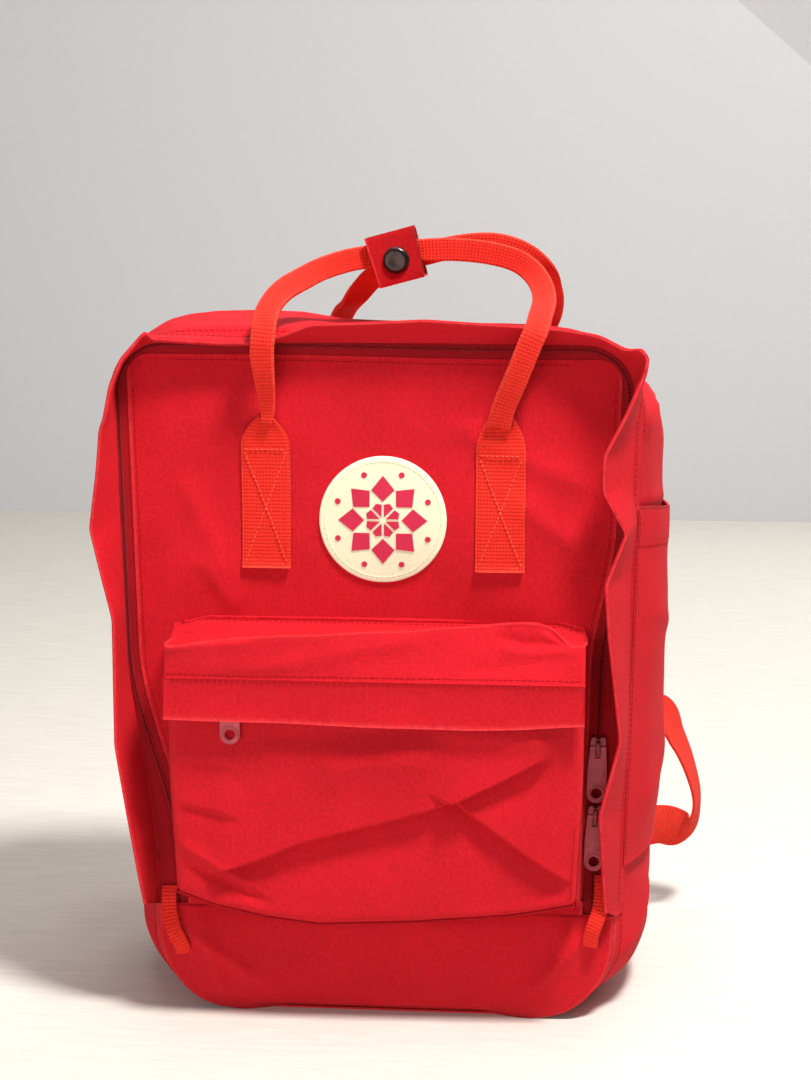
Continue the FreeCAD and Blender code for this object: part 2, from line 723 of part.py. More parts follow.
def pull_middle():
    """Where the pull lies, measured from the tape's back."""
    return slider_faces()[0] - S.slider_plate - S.bridge_room / 2


def make_pull(label, eye=False):
    """A flat pull that hangs from the origin, with a round hole at its free end."""
    body = new_body(label)
    half = S.pull_width / 2
    top = S.post_head_radius + S.fit * 2 if eye else S.pull_thickness / 2
    sketch = new_sketch(body, "Outline", "XZ_Plane")
    crest = half * 0.5 if eye else None
    rectangle(sketch, -half, half, top - S.pull_length, top, [half * 0.8, half * 0.8, crest, crest])
    pad(body, "Plate", sketch, S.pull_thickness, middle=True)
    sketch = new_sketch(body, "Holes", "XZ_Plane")
    circle(sketch, 0, half - S.pull_length, S.pull_hole / 2)
    if eye:
        circle(sketch, 0, 0, S.post_radius + S.fit)
    else:
        side = S.bridge_width / 2 + S.fit
        rectangle(sketch, -side, side, -S.pull_thickness / 2 - S.pull_window,
                  -S.pull_thickness / 2)
    pocket(body, "HolesCut", sketch, S.pull_thickness, middle=True)
    return body


def make_main_sliders():
    """Two sliders on the right-hand run of the main zip, each with its pull."""
    slant = math.degrees(math.atan(number(S.front_top_width - S.front_base_width) / 2
                                   / number(S.bag_height)))
    hung = S.slider_length / 2 + S.pull_length - S.pull_thickness / 2 + S.slider_spare
    for name, height in (("lower", S.lower_slider_height),
                         ("upper", S.lower_slider_height + hung)):
        across = half_width("front", height) - CHAIN_MIDDLE
        slider = make_slider(name + "_slider")
        pull = make_pull(name + "_pull")
        for body, depth in ((slider, FRONT_SEAM), (pull, FRONT_SEAM + pull_middle())):
            body.Placement = Placement(Vector(), Rotation(Vector(0, 1, 0), slant))
            bind(body, Placement__Base__x=across, Placement__Base__y=depth,
                 Placement__Base__z=height)


def make_pocket_slider():
    """The slider of the front pocket, whose pull hangs from a post beside the chain."""
    tape_back = POCKET_FACE + S.tape_thickness
    slider = make_slider("pocket_slider", along_x=True, post=True)
    pull = make_pull("pocket_pull", eye=True)
    for body, depth in ((slider, tape_back), (pull, tape_back + pull_middle())):
        bind(body, Placement__Base__x=S.pocket_slider_inset - POCKET_ZIP_REACH,
             Placement__Base__y=depth,
             Placement__Base__z=S.pocket_coil_middle)


# ---------------------------------------------------------------- handles and their keeper

def make_handle_patches():
    """Four flat ends of the handle webbing, each gathered into a narrow neck."""
    half, neck = S.webbing_width / 2, S.grip_width / 2
    for place, offset in (("front", -PANEL_FACE), ("rear", -BACK_FACE)):
        for side, way in SIDES:
            body = new_body("handle_patch_%s_%s" % (place, side))
            middle = way * S.handle_spread / 2
            sketch = new_sketch(body, "Outline", "XZ_Plane", offset)
            polygon(sketch, [(middle - half, S.patch_bottom), (middle + half, S.patch_bottom),
                             (middle + half, S.patch_top), (middle + neck, S.neck_height),
                             (middle - neck, S.neck_height), (middle - half, S.patch_top)])
            pad(body, "Webbing", sketch, S.webbing_thickness, reverse=place == "rear")


def make_handle(label, way, left_shoulder, crest, right_shoulder):
    """One arched handle. Its front view and its side view are two ribbons, and the webbing is
    what the two have in common. The way is -1 for the front handle and 1 for the rear one."""
    neck = S.neck_height + S.fit + S.grip_thickness / 2
    spread = S.handle_spread / 2
    start = BACK_PATCH_FACE + S.neck_reach
    upright = S.grip_gap / 2 + S.grip_thickness / 2
    low, high = neck - S.grip_width, S.handle_crest + S.grip_width * 2
    arch = [vector(-spread, 0, low), vector(left_shoulder, 0, S.handle_shoulder),
            vector(crest, 0, S.handle_crest), vector(right_shoulder, 0, S.handle_shoulder),
            vector(spread, 0, low)]
    front_view = ribbon(arch, [S.handle_rounding] * 3, S.grip_width)
    lean = [vector(0, way * start, neck), vector(0, way * (start + S.handle_bow), S.handle_bend),
            vector(0, way * upright, S.handle_upright), vector(0, way * upright, high)]
    side_view = ribbon(lean, [S.handle_bend_radius] * 2, S.grip_thickness)
    deep, wide = S.bag_depth * 2, S.bag_height
    front_block = front_view.extrude(vector(0, deep, 0))
    front_block.translate(vector(0, -deep / 2, 0))
    side_block = side_view.extrude(vector(wide, 0, 0))
    side_block.translate(vector(-wide / 2, 0, 0))
    return shaped_node(label, front_block.common(side_block))


def make_handles():
    make_handle("front_handle", -1, S.front_left_shoulder, S.front_crest_place,
                S.front_right_shoulder)
    make_handle("rear_handle", 1, S.rear_left_shoulder, S.rear_crest_place,
                S.rear_right_shoulder)


def place_keeper(body):
    """Keeper pieces are drawn upright about their own middle, then tilted with the handles."""
    body.Placement = Placement(Vector(), Rotation(Vector(0, -1, 0), number(S.keeper_tilt)))
    bind(body, Placement__Base__x=S.keeper_place, Placement__Base__z=S.keeper_middle)


def leaf(label, front, bottom, top):
    """One upright leaf of the keeper with the hole for its rivet."""
    body = new_body(label)
    half = S.keeper_width / 2
    sketch = new_sketch(body, "Outline", "XZ_Plane", -front - S.cloth)
    rectangle(sketch, -half, half, bottom, top)
    circle(sketch, 0, 0, S.snap_neck_radius)
    pad(body, "Cloth", sketch, S.cloth)
    place_keeper(body)
    return body


def make_keeper():
    """The strip that wraps both grips: a wall behind, folds above and below, and two leaves in
    front that a press stud joins."""
    rim = S.keeper_height / 2
    inner_front = -(S.keeper_inner + S.cloth)
    outer_back = -S.keeper_outer
    body = new_body("keeper_wrap")
    wall = S.keeper_back + S.cloth
    top_front = outer_back + S.fit
    low_front = inner_front
    sketch = new_sketch(body, "Profile", "YZ_Plane")
    polygon(sketch, [(low_front, -rim), (wall, -rim), (wall, rim), (top_front, rim),
                     (top_front, rim - S.cloth), (S.keeper_back, rim - S.cloth),
                     (S.keeper_back, S.cloth - rim), (low_front, S.cloth - rim)])
    pad(body, "Cloth", sketch, S.keeper_width, middle=True)
    place_keeper(body)

    leaf("keeper_inner_leaf", inner_front, S.cloth + S.fit - rim, S.keeper_inner_top)
    leaf("keeper_outer_leaf", outer_back - S.cloth, -rim, rim)

    stud = new_body("snap_stud")
    flange = S.snap_flange
    rear = inner_front + S.cloth
    for name, place, radius, length, back in (
            ("RearFlange", rear, S.snap_flange_radius, flange / 2, True),
            ("Neck", inner_front, S.snap_neck_radius, S.cloth, True),
            ("Flange", inner_front, S.snap_flange_radius, flange, False),
            ("Stud", inner_front - flange, S.snap_stud_radius, flange * 1.5, False)):
        sketch = new_sketch(stud, name + "Outline", "XZ_Plane", -place)
        circle(sketch, 0, 0, radius)
        pad(stud, name, sketch, length, reverse=back)
    place_keeper(stud)

    socket = new_body("snap_socket")
    sketch = new_sketch(socket, "Outline", "XZ_Plane", -outer_back)
    circle(sketch, 0, 0, S.snap_socket_radius)
    circle(sketch, 0, 0, S.snap_stud_radius + S.fit)
    gap = S.keeper_outer - S.keeper_inner - S.cloth - flange
    pad(socket, "Ring", sketch, gap - S.fit, reverse=True)
    place_keeper(socket)

    cap = new_body("snap_cap")
    face = -(outer_back - S.cloth)
    sketch = new_sketch(cap, "Profile", "XY_Plane")
    polygon(sketch, [(0, -face + S.cloth), (S.snap_neck_radius, -face + S.cloth),
                     (S.snap_neck_radius, -face), (S.snap_radius, -face),
                     (S.snap_radius, -face - S.snap_dome / 3),
                     (S.snap_radius * 0.6, -face - S.snap_dome), (0, -face - S.snap_dome)])
    turn(cap, "Dome", sketch)
    place_keeper(cap)


# ---------------------------------------------------------------- webbing loops and straps

def make_base_loops():
    """Webbing loops at the lower front corners, open from side to side."""
    reach = S.webbing_thickness
    wall = PANEL_FACE
    skin = wall - reach
    crest = wall - S.loop_rise
    low, high = S.loop_bottom, S.loop_top
    corners = [(wall, low), (wall, low + S.loop_foot), (skin, low + S.loop_foot),
               (crest + reach, low + S.loop_foot * 1.4), (crest + reach, high - S.loop_foot * 1.4),
               (skin, high - S.loop_foot), (wall, high - S.loop_foot), (wall, high),
               (skin, high), (crest, high - S.loop_foot * 0.9), (crest, low + S.loop_foot * 0.9),
               (skin, low)]
    for side, way in SIDES:
        body = new_body("base_loop_" + side)
        sketch = new_sketch(body, "Profile", "YZ_Plane", way * S.loop_place)
        polygon(sketch, corners)
        pad(body, "Webbing", sketch, S.loop_width, middle=True)


def make_strap_anchors():
    """Sewn patches that carry the two ends of each shoulder strap."""
    for side, way in SIDES:
        for name, place, height, width, length in (
                ("strap_top_anchor_", S.strap_top_place, S.strap_top_height,
                 S.anchor_width, S.anchor_length),
                ("strap_bottom_tab_", S.strap_bottom_place, S.strap_bottom_height,
                 S.tab_width, S.tab_length)):
            body = new_body(name + side)
            sketch = new_sketch(body, "Outline", "XZ_Plane", -BACK_FACE)
            middle = way * place
            rectangle(sketch, middle - width / 2, middle + width / 2,
                      height - length / 2, height + length / 2)
            pad(body, "Webbing", sketch, S.webbing_thickness, reverse=True)


def strap_frame(way, angle):
    """The plane of a shoulder strap: X points away from the line through its anchors, and Z runs
    up that line from the bottom anchor to the top one."""
    depth = BACK_PATCH_FACE + S.fit + S.webbing_thickness / 2
    top = vector(way * S.strap_top_place, depth, S.strap_top_height)
    bottom = vector(way * S.strap_bottom_place, depth, S.strap_bottom_height)
    up = (top - bottom).normalize()
    sideways = Vector(way * up.z, 0, -way * up.x)
    tilt = math.radians(number(angle))
    outward = sideways * math.cos(tilt) + Vector(0, 1, 0) * math.sin(tilt)
    return top, (top - bottom).Length, Rotation(outward, up.cross(outward), up, "ZXY")


def make_straps():
    """Each strap runs from its top anchor to a far bend and back to its bottom anchor."""
    for side, way, angle in (("left", -1, S.strap_left_angle), ("right", 1, S.strap_right_angle)):
        top, length, turned = strap_frame(way, angle)
        start = Vector(0, 0, 0)
        bend = vector(S.strap_swing, 0, -S.strap_drop)
        end = Vector(0, 0, -length)
        run = bend - start
        lead = number(S.webbing_width)
        band = ribbon([start - (run * (lead / run.Length)), bend, end + (end - bend)],
                      [S.webbing_width * 0.6], S.webbing_width)
        strap = band.extrude(vector(0, S.webbing_thickness, 0))
        strap.translate(vector(0, -S.webbing_thickness / 2, 0))
        reach, thick = number(S.bag_height), number(S.webbing_width)
        inside = Part.makeBox(reach, thick, reach * 2, vector(-reach, -thick / 2, -reach * 1.5))
        shaped_node("shoulder_strap_" + side, strap.cut(inside), Placement(top, turned))
        make_adjuster(side, top, turned, run)


def make_adjuster(side, top, turned, run):
    """A ladder lock: a frame that the strap runs through."""
    body = new_body("strap_adjuster_" + side)
    half_thick = S.adjuster_thickness / 2
    half_wide = S.webbing_width / 2 + S.fit + S.adjuster_rim
    sketch = new_sketch(body, "Frame", "XY_Plane")
    rectangle(sketch, -half_wide, half_wide, -half_thick, half_thick)
    slot_wide = S.webbing_width / 2 + S.fit
    slot_thick = S.webbing_thickness / 2 + S.fit
    rectangle(sketch, -slot_wide, slot_wide, -slot_thick, slot_thick)
    pad(body, "Ring", sketch, S.adjuster_length, middle=True)
    lean = math.degrees(math.atan2(run.x, -run.z))
    along = run * (number(S.adjuster_place) / run.Length)
    own = Placement(along, Rotation(Vector(0, -1, 0), lean))
    body.Placement = Placement(top, turned).multiply(own)


# ---------------------------------------------------------------- inside

def make_inside():
    """The sleeve on the back panel, the foam pad that it holds, and a blank name label."""
    half = S.sleeve_width / 2
    tray("pad_sleeve", half, S.sleeve_bottom, S.sleeve_top,
         [S.sleeve_corner, S.sleeve_corner, None, None], BACK_SEAM, S.sleeve_room + S.cloth,
         open_top=True)

    body = new_body("seat_pad")
    sketch = new_sketch(body, "Outline", "XZ_Plane", FRONT_SEAM + S.fit)
    reach = half - S.cloth - S.fit
    low = S.sleeve_bottom + S.cloth + S.fit
    rectangle(sketch, -reach, reach, low, low + S.pad_height, [S.pad_corner] * 4)
    pad(body, "Foam", sketch, S.pad_thickness)

    face = BACK_SEAM - S.sleeve_room - S.cloth
    box_node("name_label", -S.label_width / 2, S.label_width / 2, face - S.label_thickness, face,
             S.label_bottom, S.label_bottom + S.label_height)


# ---------------------------------------------------------------- the whole bag

def make_bag():
    make_gusset()
    make_base()
    make_back_panel()
    make_storm_flap()
    make_zip()
    make_front_panel()
    make_seam_binding()
    for side, way in SIDES:
        make_side_pocket(side, way)
    make_front_pocket()
    make_pocket_flap()
    make_badge()
    make_main_sliders()
    make_pocket_slider()
    make_handle_patches()
    make_handles()
    make_keeper()
    make_base_loops()
    make_strap_anchors()
    make_straps()
    make_inside()


def check_and_export():
    """Check every object, then write one file for each piece."""
    doc.recompute()
    for item in doc.Objects:
        if "Invalid" in item.State or "Error" in item.State:
            raise ValueError("%s did not build: %s" % (item.Name, item.State))
    os.makedirs("parts", exist_ok=True)
    for node in NODES:
        if node.Shape.isNull() or not node.Shape.isValid() or node.Shape.Volume <= 0:
            raise ValueError("%s has no valid shape" % node.Label)
        node.Shape.exportStep("parts/%s.step" % node.Label)
        print("%-28s %10.1f mm3, %d solids" % (node.Label, node.Shape.Volume,
                                               len(node.Shape.Solids)))


make_bag()
check_and_export()
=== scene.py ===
import math

import bpy
import numpy as np
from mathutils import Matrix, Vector


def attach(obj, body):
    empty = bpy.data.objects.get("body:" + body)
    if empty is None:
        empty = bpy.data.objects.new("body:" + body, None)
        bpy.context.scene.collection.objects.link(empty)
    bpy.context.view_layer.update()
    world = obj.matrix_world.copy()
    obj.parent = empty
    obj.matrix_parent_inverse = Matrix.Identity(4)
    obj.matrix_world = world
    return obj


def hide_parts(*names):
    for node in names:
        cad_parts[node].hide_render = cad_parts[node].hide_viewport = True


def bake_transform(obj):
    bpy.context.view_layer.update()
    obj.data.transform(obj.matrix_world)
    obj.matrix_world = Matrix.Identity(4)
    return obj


# A red canvas daypack. Lengths are in millimetres, +Z is up and the front faces -Y.
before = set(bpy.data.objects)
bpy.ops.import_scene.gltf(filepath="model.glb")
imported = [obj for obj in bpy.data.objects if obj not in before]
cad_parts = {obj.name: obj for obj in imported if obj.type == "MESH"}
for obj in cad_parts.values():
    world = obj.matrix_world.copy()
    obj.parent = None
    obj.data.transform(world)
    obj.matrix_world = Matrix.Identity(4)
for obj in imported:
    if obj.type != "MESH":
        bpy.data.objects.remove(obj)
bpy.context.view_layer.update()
MM = 0.001


def link(name, data):
    """A new object in the scene."""
    thing = bpy.data.objects.new(name, data)
    bpy.context.scene.collection.objects.link(thing)
    return thing


def make_camera():
    """The camera that looks at the front of the bag."""
    data = bpy.data.cameras.new("Camera")
    data.sensor_fit = "VERTICAL"
    data.sensor_height = 24
    data.lens = 46.37
    camera = link("Camera", data)
    camera.location = (0.1020, -1.1638, 0.4809)
    camera.rotation_euler = (math.radians(79.15), 0, math.radians(4.69))
    bpy.context.scene.camera = camera


make_camera()


# ---------------------------------------------------------------- materials

def srgb(red, green, blue):
    """A linear colour from the usual 0-255 numbers."""
    parts = [value / 255 for value in (red, green, blue)]
    return tuple(p / 12.92 if p < 0.04045 else ((p + 0.055) / 1.055) ** 2.4 for p in parts) + (1,)


class Nodes:
    """Short names for the shader nodes that the materials need."""

    def __init__(self, name):
        self.material = bpy.data.materials.new(name)
        self.material.use_nodes = True
        self.tree = self.material.node_tree
        self.shader = self.tree.nodes["Principled BSDF"]

    def add(self, kind, inputs=None, **settings):
        node = self.tree.nodes.new("ShaderNode" + kind)
        for key, value in settings.items():
            setattr(node, key, value)
        for key, value in (inputs or {}).items():
            self.put(node.inputs[key], value)
        return node

    def put(self, socket, value):
        if isinstance(value, bpy.types.NodeSocket):
            self.tree.links.new(value, socket)
        else:
            socket.default_value = value

    def mix(self, factor, first, second):
        node = self.add("Mix", data_type="RGBA")
        for place, value in ((0, factor), (6, first), (7, second)):
            self.put(node.inputs[place], value)
        return node.outputs[2]

    def math(self, operation, first, second):
        return self.add("Math", {0: first, 1: second}, operation=operation).outputs[0]

    def ramp(self, factor, low, high):
        node = self.add("MapRange", {"Value": factor, "From Min": low, "From Max": high})
        return node.outputs["Result"]

    def noise(self, place, scale, detail=3.0, roughness=0.55):
        return self.add("TexNoise", {"Vector": place, "Scale": scale, "Detail": detail,
                                     "Roughness": roughness}).outputs[0]

    def wear(self):
        return self.add("Attribute", attribute_name="wear", attribute_type="GEOMETRY").outputs["Fac"]

    def finish(self, colour, roughness, height=None, depth=0.0002, strength=0.6, **constants):
        self.put(self.shader.inputs["Base Color"], colour)
        self.put(self.shader.inputs["Roughness"], roughness)
        for key, value in constants.items():
            self.shader.inputs[key.replace("_", " ")].default_value = value
        if height is not None:
            bump = self.add("Bump", {"Strength": strength, "Distance": depth, "Height": height})
            self.put(self.shader.inputs["Normal"], bump.outputs[0])
        return self.material


def rib_crowns(n, where, thread, row):
    """Thick cross threads with rows of small pits between them."""
    split = n.add("SeparateXYZ", {"Vector": where})
    waves = []
    for axis, pitch in (("X", thread), ("Y", row)):
        turn = n.math("MULTIPLY", split.outputs[axis], 1000.0 * math.pi / pitch)
        waves.append(n.math("ABSOLUTE", n.math("SINE", turn, 0.0), 0.0))
    valley = n.math("POWER", n.math("SUBTRACT", 1.0, waves[1]), 1.3)
    pit = n.math("SUBTRACT", 1.0, n.math("MULTIPLY", waves[0], 0.8))
    return n.math("SUBTRACT", 1.0, n.math("MULTIPLY", valley, pit))


def thread_crowns(n, where, thread, row, gap):
    """Short threads in rows, with narrow gaps."""
    brick = n.add("TexBrick", {"Vector": where, "Scale": 1000.0, "Color1": (1, 1, 1, 1),
                               "Color2": (0.82, 0.82, 0.82, 1), "Mortar": (0, 0, 0, 1),
                               "Mortar Size": gap, "Mortar Smooth": 1.0, "Bias": 0.0,
                               "Brick Width": thread, "Row Height": row}, offset=0.5)
    return n.ramp(brick.outputs["Color"], 0.0, 1.0)


def woven(name, lit, deep, worn, weave, mottle=0.5, sheen=0.08, place="UV", ribbed=False):
    """Woven cloth with mottling and paler worn edges. Its colour is lighter on the tops of the
    threads and darker in the gaps and pits between them, which is painted shade. Its weave is the
    width of a thread, the height of a row and the gap in millimetres, and the depth of its relief in
    metres."""
    lit, deep, worn = (srgb(*colour) for colour in (lit, deep, worn))
    thread, row, gap, depth = weave
    n = Nodes(name)
    where = n.add("TexCoord").outputs[place]
    wobble = n.add("TexNoise", {"Vector": where, "Scale": 160.0, "Detail": 2.0})
    moved = n.add("VectorMath", {0: wobble.outputs["Color"], 1: (0.0007, 0.0007, 0.0)},
                  operation="MULTIPLY")
    shifted = n.add("VectorMath", {0: where, 1: moved.outputs[0]}, operation="ADD").outputs[0]
    if ribbed:
        weave_relief_and_shade = rib_crowns(n, shifted, thread, row)
    else:
        weave_relief_and_shade = thread_crowns(n, shifted, thread, row, gap)
    fibres = n.noise(where, 1500.0, 4.0, 0.7)
    clouds = n.ramp(n.noise(where, 22.0, 5.0, 0.65), 0.3, 0.7)
    grain = n.ramp(n.noise(where, 480.0, 2.0, 0.5), 0.36, 0.64)
    tone = n.math("ADD", n.math("MULTIPLY", clouds, mottle * 0.55),
                  n.math("MULTIPLY", grain, mottle * 0.45))
    # Painted shade: the pattern that gives the weave its relief also darkens the colour in the gaps
    # and pits and lightens it on the tops of the threads.
    tone = n.math("ADD", tone, n.math("MULTIPLY", weave_relief_and_shade, 1.0 - mottle))
    rubbed = n.math("MULTIPLY", n.wear(), n.ramp(n.noise(where, 260.0, 4.0, 0.7), 0.25, 0.8))
    colour = n.mix(rubbed, n.mix(tone, deep, lit), worn)
    height = n.math("ADD", weave_relief_and_shade, n.math("MULTIPLY", fibres, 0.6))
    rough = n.math("ADD", n.math("MULTIPLY", fibres, 0.16), 0.76)
    n.shader.inputs["Sheen Tint"].default_value = worn
    return n.finish(colour, rough, height, depth, 0.7, Sheen_Weight=sheen, Sheen_Roughness=0.5,
                    Specular_IOR_Level=0.22)


def metal(name, colour, dull, roughness, metallic=1.0, coat=0.0):
    """Cast or painted metal with fine scratches, dull patches and rubbed edges."""
    colour, dull = srgb(*colour), srgb(*dull)
    n = Nodes(name)
    where = n.add("TexCoord").outputs["Object"]
    patches = n.ramp(n.noise(where, 260.0, 5.0, 0.65), 0.35, 0.7)
    stretch = n.add("Mapping", {"Vector": where, "Scale": (1.0, 1.0, 0.15)})
    lines = n.noise(stretch.outputs[0], 2600.0, 3.0, 0.7)
    bright = tuple(min(1.0, part * 1.5 + 0.12) for part in colour[:3]) + (1,)
    tone = n.mix(n.math("MULTIPLY", n.wear(), 0.7), n.mix(patches, colour, dull), bright)
    rough = n.math("ADD", n.math("MULTIPLY", patches, 0.16), roughness)
    return n.finish(tone, rough, n.math("ADD", lines, patches), 0.00004, 0.5, Metallic=metallic,
                    Coat_Weight=coat, Coat_Roughness=0.25)


def moulded(name, colour, deep, grain, roughness, depth, gloss=0.4):
    """Moulded plastic, foam skin or print: fine grain over a slow change of tone."""
    n = Nodes(name)
    where = n.add("TexCoord").outputs["Object"]
    fine = n.noise(where, grain, 4.0, 0.65)
    slow = n.ramp(n.noise(where, 45.0, 4.0, 0.6), 0.3, 0.7)
    tone = n.math("ADD", n.math("MULTIPLY", slow, 0.6), n.math("MULTIPLY", fine, 0.4))
    rough = n.math("ADD", n.math("MULTIPLY", fine, 0.2), roughness)
    return n.finish(n.mix(tone, srgb(*deep), srgb(*colour)), rough, fine, depth, 0.6,
                    Specular_IOR_Level=gloss)


# RED_DEEP is both the dark end of the canvas's random mottling and the painted shade in the gaps of
# its weave.
RED, RED_DEEP, RED_WORN = (226, 22, 40), (174, 4, 18), (240, 78, 80)
CANVAS_WEAVE = (1.0, 0.64, 0.17, 0.0003)
STITCH_WEAVE = (0.4, 0.3, 0.1, 0.00008)
MATERIALS = {
    "canvas": woven("Canvas", RED, RED_DEEP, RED_WORN, CANVAS_WEAVE, mottle=0.55),
    # A darker copy of the canvas for the keeper, which is the same cloth as the bag: painted shade.
    "canvas_keeper_shaded": woven("CanvasKeeperShaded", (206, 12, 24), (150, 2, 10), RED_WORN, CANVAS_WEAVE,
                         mottle=0.55, sheen=0.02),
    "canvas_plain": woven("CanvasSolid", RED, RED_DEEP, RED_WORN, (0.95, 0.6, 0.16, 0.0002),
                          place="Object"),
    "lining": woven("Lining", (214, 30, 42), (168, 12, 22), RED_WORN, (0.8, 0.55, 0.14, 0.00015),
                    sheen=0.03),
    # The webbing's dark colour is mostly painted shade in the pits between its ribs.
    "webbing": woven("Webbing", (240, 44, 30), (146, 4, 5), (252, 104, 80),
                     (1.65, 1.95, 0.0, 0.0010), mottle=0.2, sheen=0.12, ribbed=True),
    "thread": woven("Thread", (186, 8, 24), (134, 2, 12), RED_WORN, STITCH_WEAVE, place="Object"),
    "webbing_thread": woven("WebbingThread", (255, 108, 88), (232, 66, 48), RED_WORN,
                            STITCH_WEAVE, place="Object"),
    "zip_tape": woven("ZipTape", (176, 8, 24), (128, 2, 14), RED_WORN, (0.7, 0.5, 0.14, 0.00015)),
    "zip_coil": moulded("ZipCoil", (170, 10, 28), (120, 4, 16), 900.0, 0.42, 0.00003),
    "slider_metal": metal("SliderPaint", (150, 30, 44), (112, 18, 30), 0.36, 0.35, 0.3),
    "pull_metal": metal("PullPaint", (178, 44, 62), (146, 28, 46), 0.34, 0.3, 0.35),
    "badge_print": woven("BadgeCloth", (243, 236, 205), (226, 216, 182), (252, 248, 230),
                         (0.55, 0.42, 0.1, 0.00008), mottle=0.7, sheen=0.02),
    "badge_ink": moulded("BadgeInk", (206, 38, 74), (184, 26, 60), 1400.0, 0.6, 0.00003, 0.3),
    "label_cloth": woven("LabelCloth", (236, 228, 206), (214, 204, 180), (250, 246, 232),
                         (0.4, 0.3, 0.1, 0.0001), sheen=0.02),
    "snap_cap": metal("SnapCap", (52, 26, 22), (24, 12, 12), 0.2, 0.85, 0.5),
    "snap_brass": metal("SnapBrass", (196, 166, 108), (150, 122, 76), 0.28),
    "adjuster_plastic": moulded("AdjusterPlastic", (196, 20, 30), (160, 10, 20), 700.0, 0.42,
                                0.00006),
    "foam": moulded("Foam", (206, 206, 200), (178, 178, 172), 1100.0, 0.85, 0.0003, 0.2),
}


# ---------------------------------------------------------------- meshes

FORWARD = np.array([0.0, -1.0, 0.0])


def unit(vectors):
    """Vectors of length one."""
    length = np.linalg.norm(vectors, axis=-1, keepdims=True)
    return vectors / np.maximum(length, 1e-9)


def points_of(x, y, z):
    """Points from three coordinates, each of them a number or an array."""
    return np.stack(np.broadcast_arrays(x, y, z), axis=-1).astype(float)


def normals_of(grid, flip=False):
    """The normals of a grid of points."""
    found = unit(np.cross(np.gradient(grid, axis=0), np.gradient(grid, axis=1)))
    return -found if flip else found


def spread(grid):
    """The place of each point of a grid on the flat cloth, in metres."""
    down = np.linalg.norm(np.diff(grid, axis=0), axis=2)
    over = np.linalg.norm(np.diff(grid, axis=1), axis=2)
    u = np.concatenate([[0], np.cumsum(down.mean(axis=1))])
    v = np.concatenate([[0], np.cumsum(over.mean(axis=0))])
    return np.stack(np.meshgrid(u, v, indexing="ij"), axis=-1) * MM


def strips(rows, columns, start=0):
    """The quads of a grid of points."""
    index = np.arange(rows * columns).reshape(rows, columns) + start
    quads = np.stack([index[:-1, :-1], index[1:, :-1], index[1:, 1:], index[:-1, 1:]], axis=-1)
    return quads.reshape(-1, 4)


def make_mesh(name, points, faces, flat=None, wear=None, smooth=True):
    """An object from points in millimetres, with places on the flat cloth for the weave."""
    mesh = bpy.data.meshes.new(name)
    mesh.from_pydata((np.asarray(points, float) * MM).tolist(), [], [list(f) for f in faces])
    if flat is not None:
        layer = mesh.uv_layers.new(name="Weave")
        corners = np.zeros(len(mesh.loops), int)
        mesh.loops.foreach_get("vertex_index", corners)
        layer.data.foreach_set("uv", np.asarray(flat, float)[corners].ravel())
    if wear is not None:
        layer = mesh.attributes.new("wear", "FLOAT", "POINT")
        layer.data.foreach_set("value", np.asarray(wear, np.float32).ravel())
    mesh.shade_smooth() if smooth else mesh.shade_flat()
    return link(name, mesh)


def place(thing, body, slot, node=None, finish=None):
    """Give a piece its material and its body, and hide the solid that it stands for."""
    thing.data.materials.clear()
    thing.data.materials.append(MATERIALS[finish or slot])
    if body:
        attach(thing, body)
    if node:
        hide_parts(node)
    return thing


def cloth(name, grid, thickness, flip=False, wear=0.0, turned=False):
    """A sheet with two faces and four edges. The grid is its outer face, and the cloth lies
    behind it. A turned weave has its rows across the grid, as webbing has."""
    rows, columns = grid.shape[:2]
    count = rows * columns
    inner = grid - normals_of(grid, flip) * thickness
    index = np.arange(count).reshape(rows, columns)
    rim = np.concatenate([index[:, 0], index[-1, 1:], index[::-1, -1][1:], index[0, ::-1][1:]])
    border = np.stack([rim[:-1], rim[:-1] + count, rim[1:] + count, rim[1:]], axis=-1)
    faces = np.concatenate([strips(rows, columns), strips(rows, columns, count)[:, ::-1],
                            border[:, ::-1]])
    flat = spread(grid)[..., ::-1] if turned else spread(grid)
    worn = np.broadcast_to(wear, (rows, columns)).ravel()
    return make_mesh(name, np.concatenate([grid.reshape(-1, 3), inner.reshape(-1, 3)]),
                     faces[:, ::-1] if flip else faces,
                     np.tile(flat.reshape(-1, 2), (2, 1)), np.tile(worn, 2))


def lay(name, grid, thickness, body, slot, node=None, flip=False, wear=0.0):
    """Lay a sheet of cloth in place of a solid, and return the normals of its outer face."""
    place(cloth(name, grid, thickness, flip, wear), body, slot, node)
    return normals_of(grid, flip)


def beads(name, places, along, up, size):
    """Many small rounded bars in one mesh: stitches, zip teeth. Size is length, width, height."""
    sides = 6
    turns = np.linspace(0, 2 * np.pi, sides, endpoint=False)
    swells = np.array([(-1, 0.3), (-0.7, 0.85), (0, 1), (0.7, 0.85), (1, 0.3)])
    length, width, height = (value / 2 for value in size)
    local = np.array([(end * length, math.cos(t) * swell * width, math.sin(t) * swell * height)
                      for end, swell in swells for t in turns])
    across = np.cross(up, along)
    points = (places[:, None] + local[None, :, :1] * along[:, None]
              + local[None, :, 1:2] * across[:, None] + local[None, :, 2:] * up[:, None])
    last = sides * (len(swells) - 1)
    bar = [(a + i, a + (i + 1) % sides, a + sides + (i + 1) % sides, a + sides + i)
           for a in range(0, last, sides) for i in range(sides)]
    caps = [tuple(range(sides))[::-1], tuple(range(last, last + sides))]
    faces = [tuple(corner + start for corner in face)
             for start in range(0, len(places) * len(local), len(local)) for face in bar + caps]
    return make_mesh(name, points.reshape(-1, 3), faces)


def lerp_rows(rows, index):
    """Rows of an array at fractional places."""
    low = np.clip(np.floor(index).astype(int), 0, len(rows) - 2)
    part = (index - low)[:, None]
    return rows[low] * (1 - part) + rows[low + 1] * part


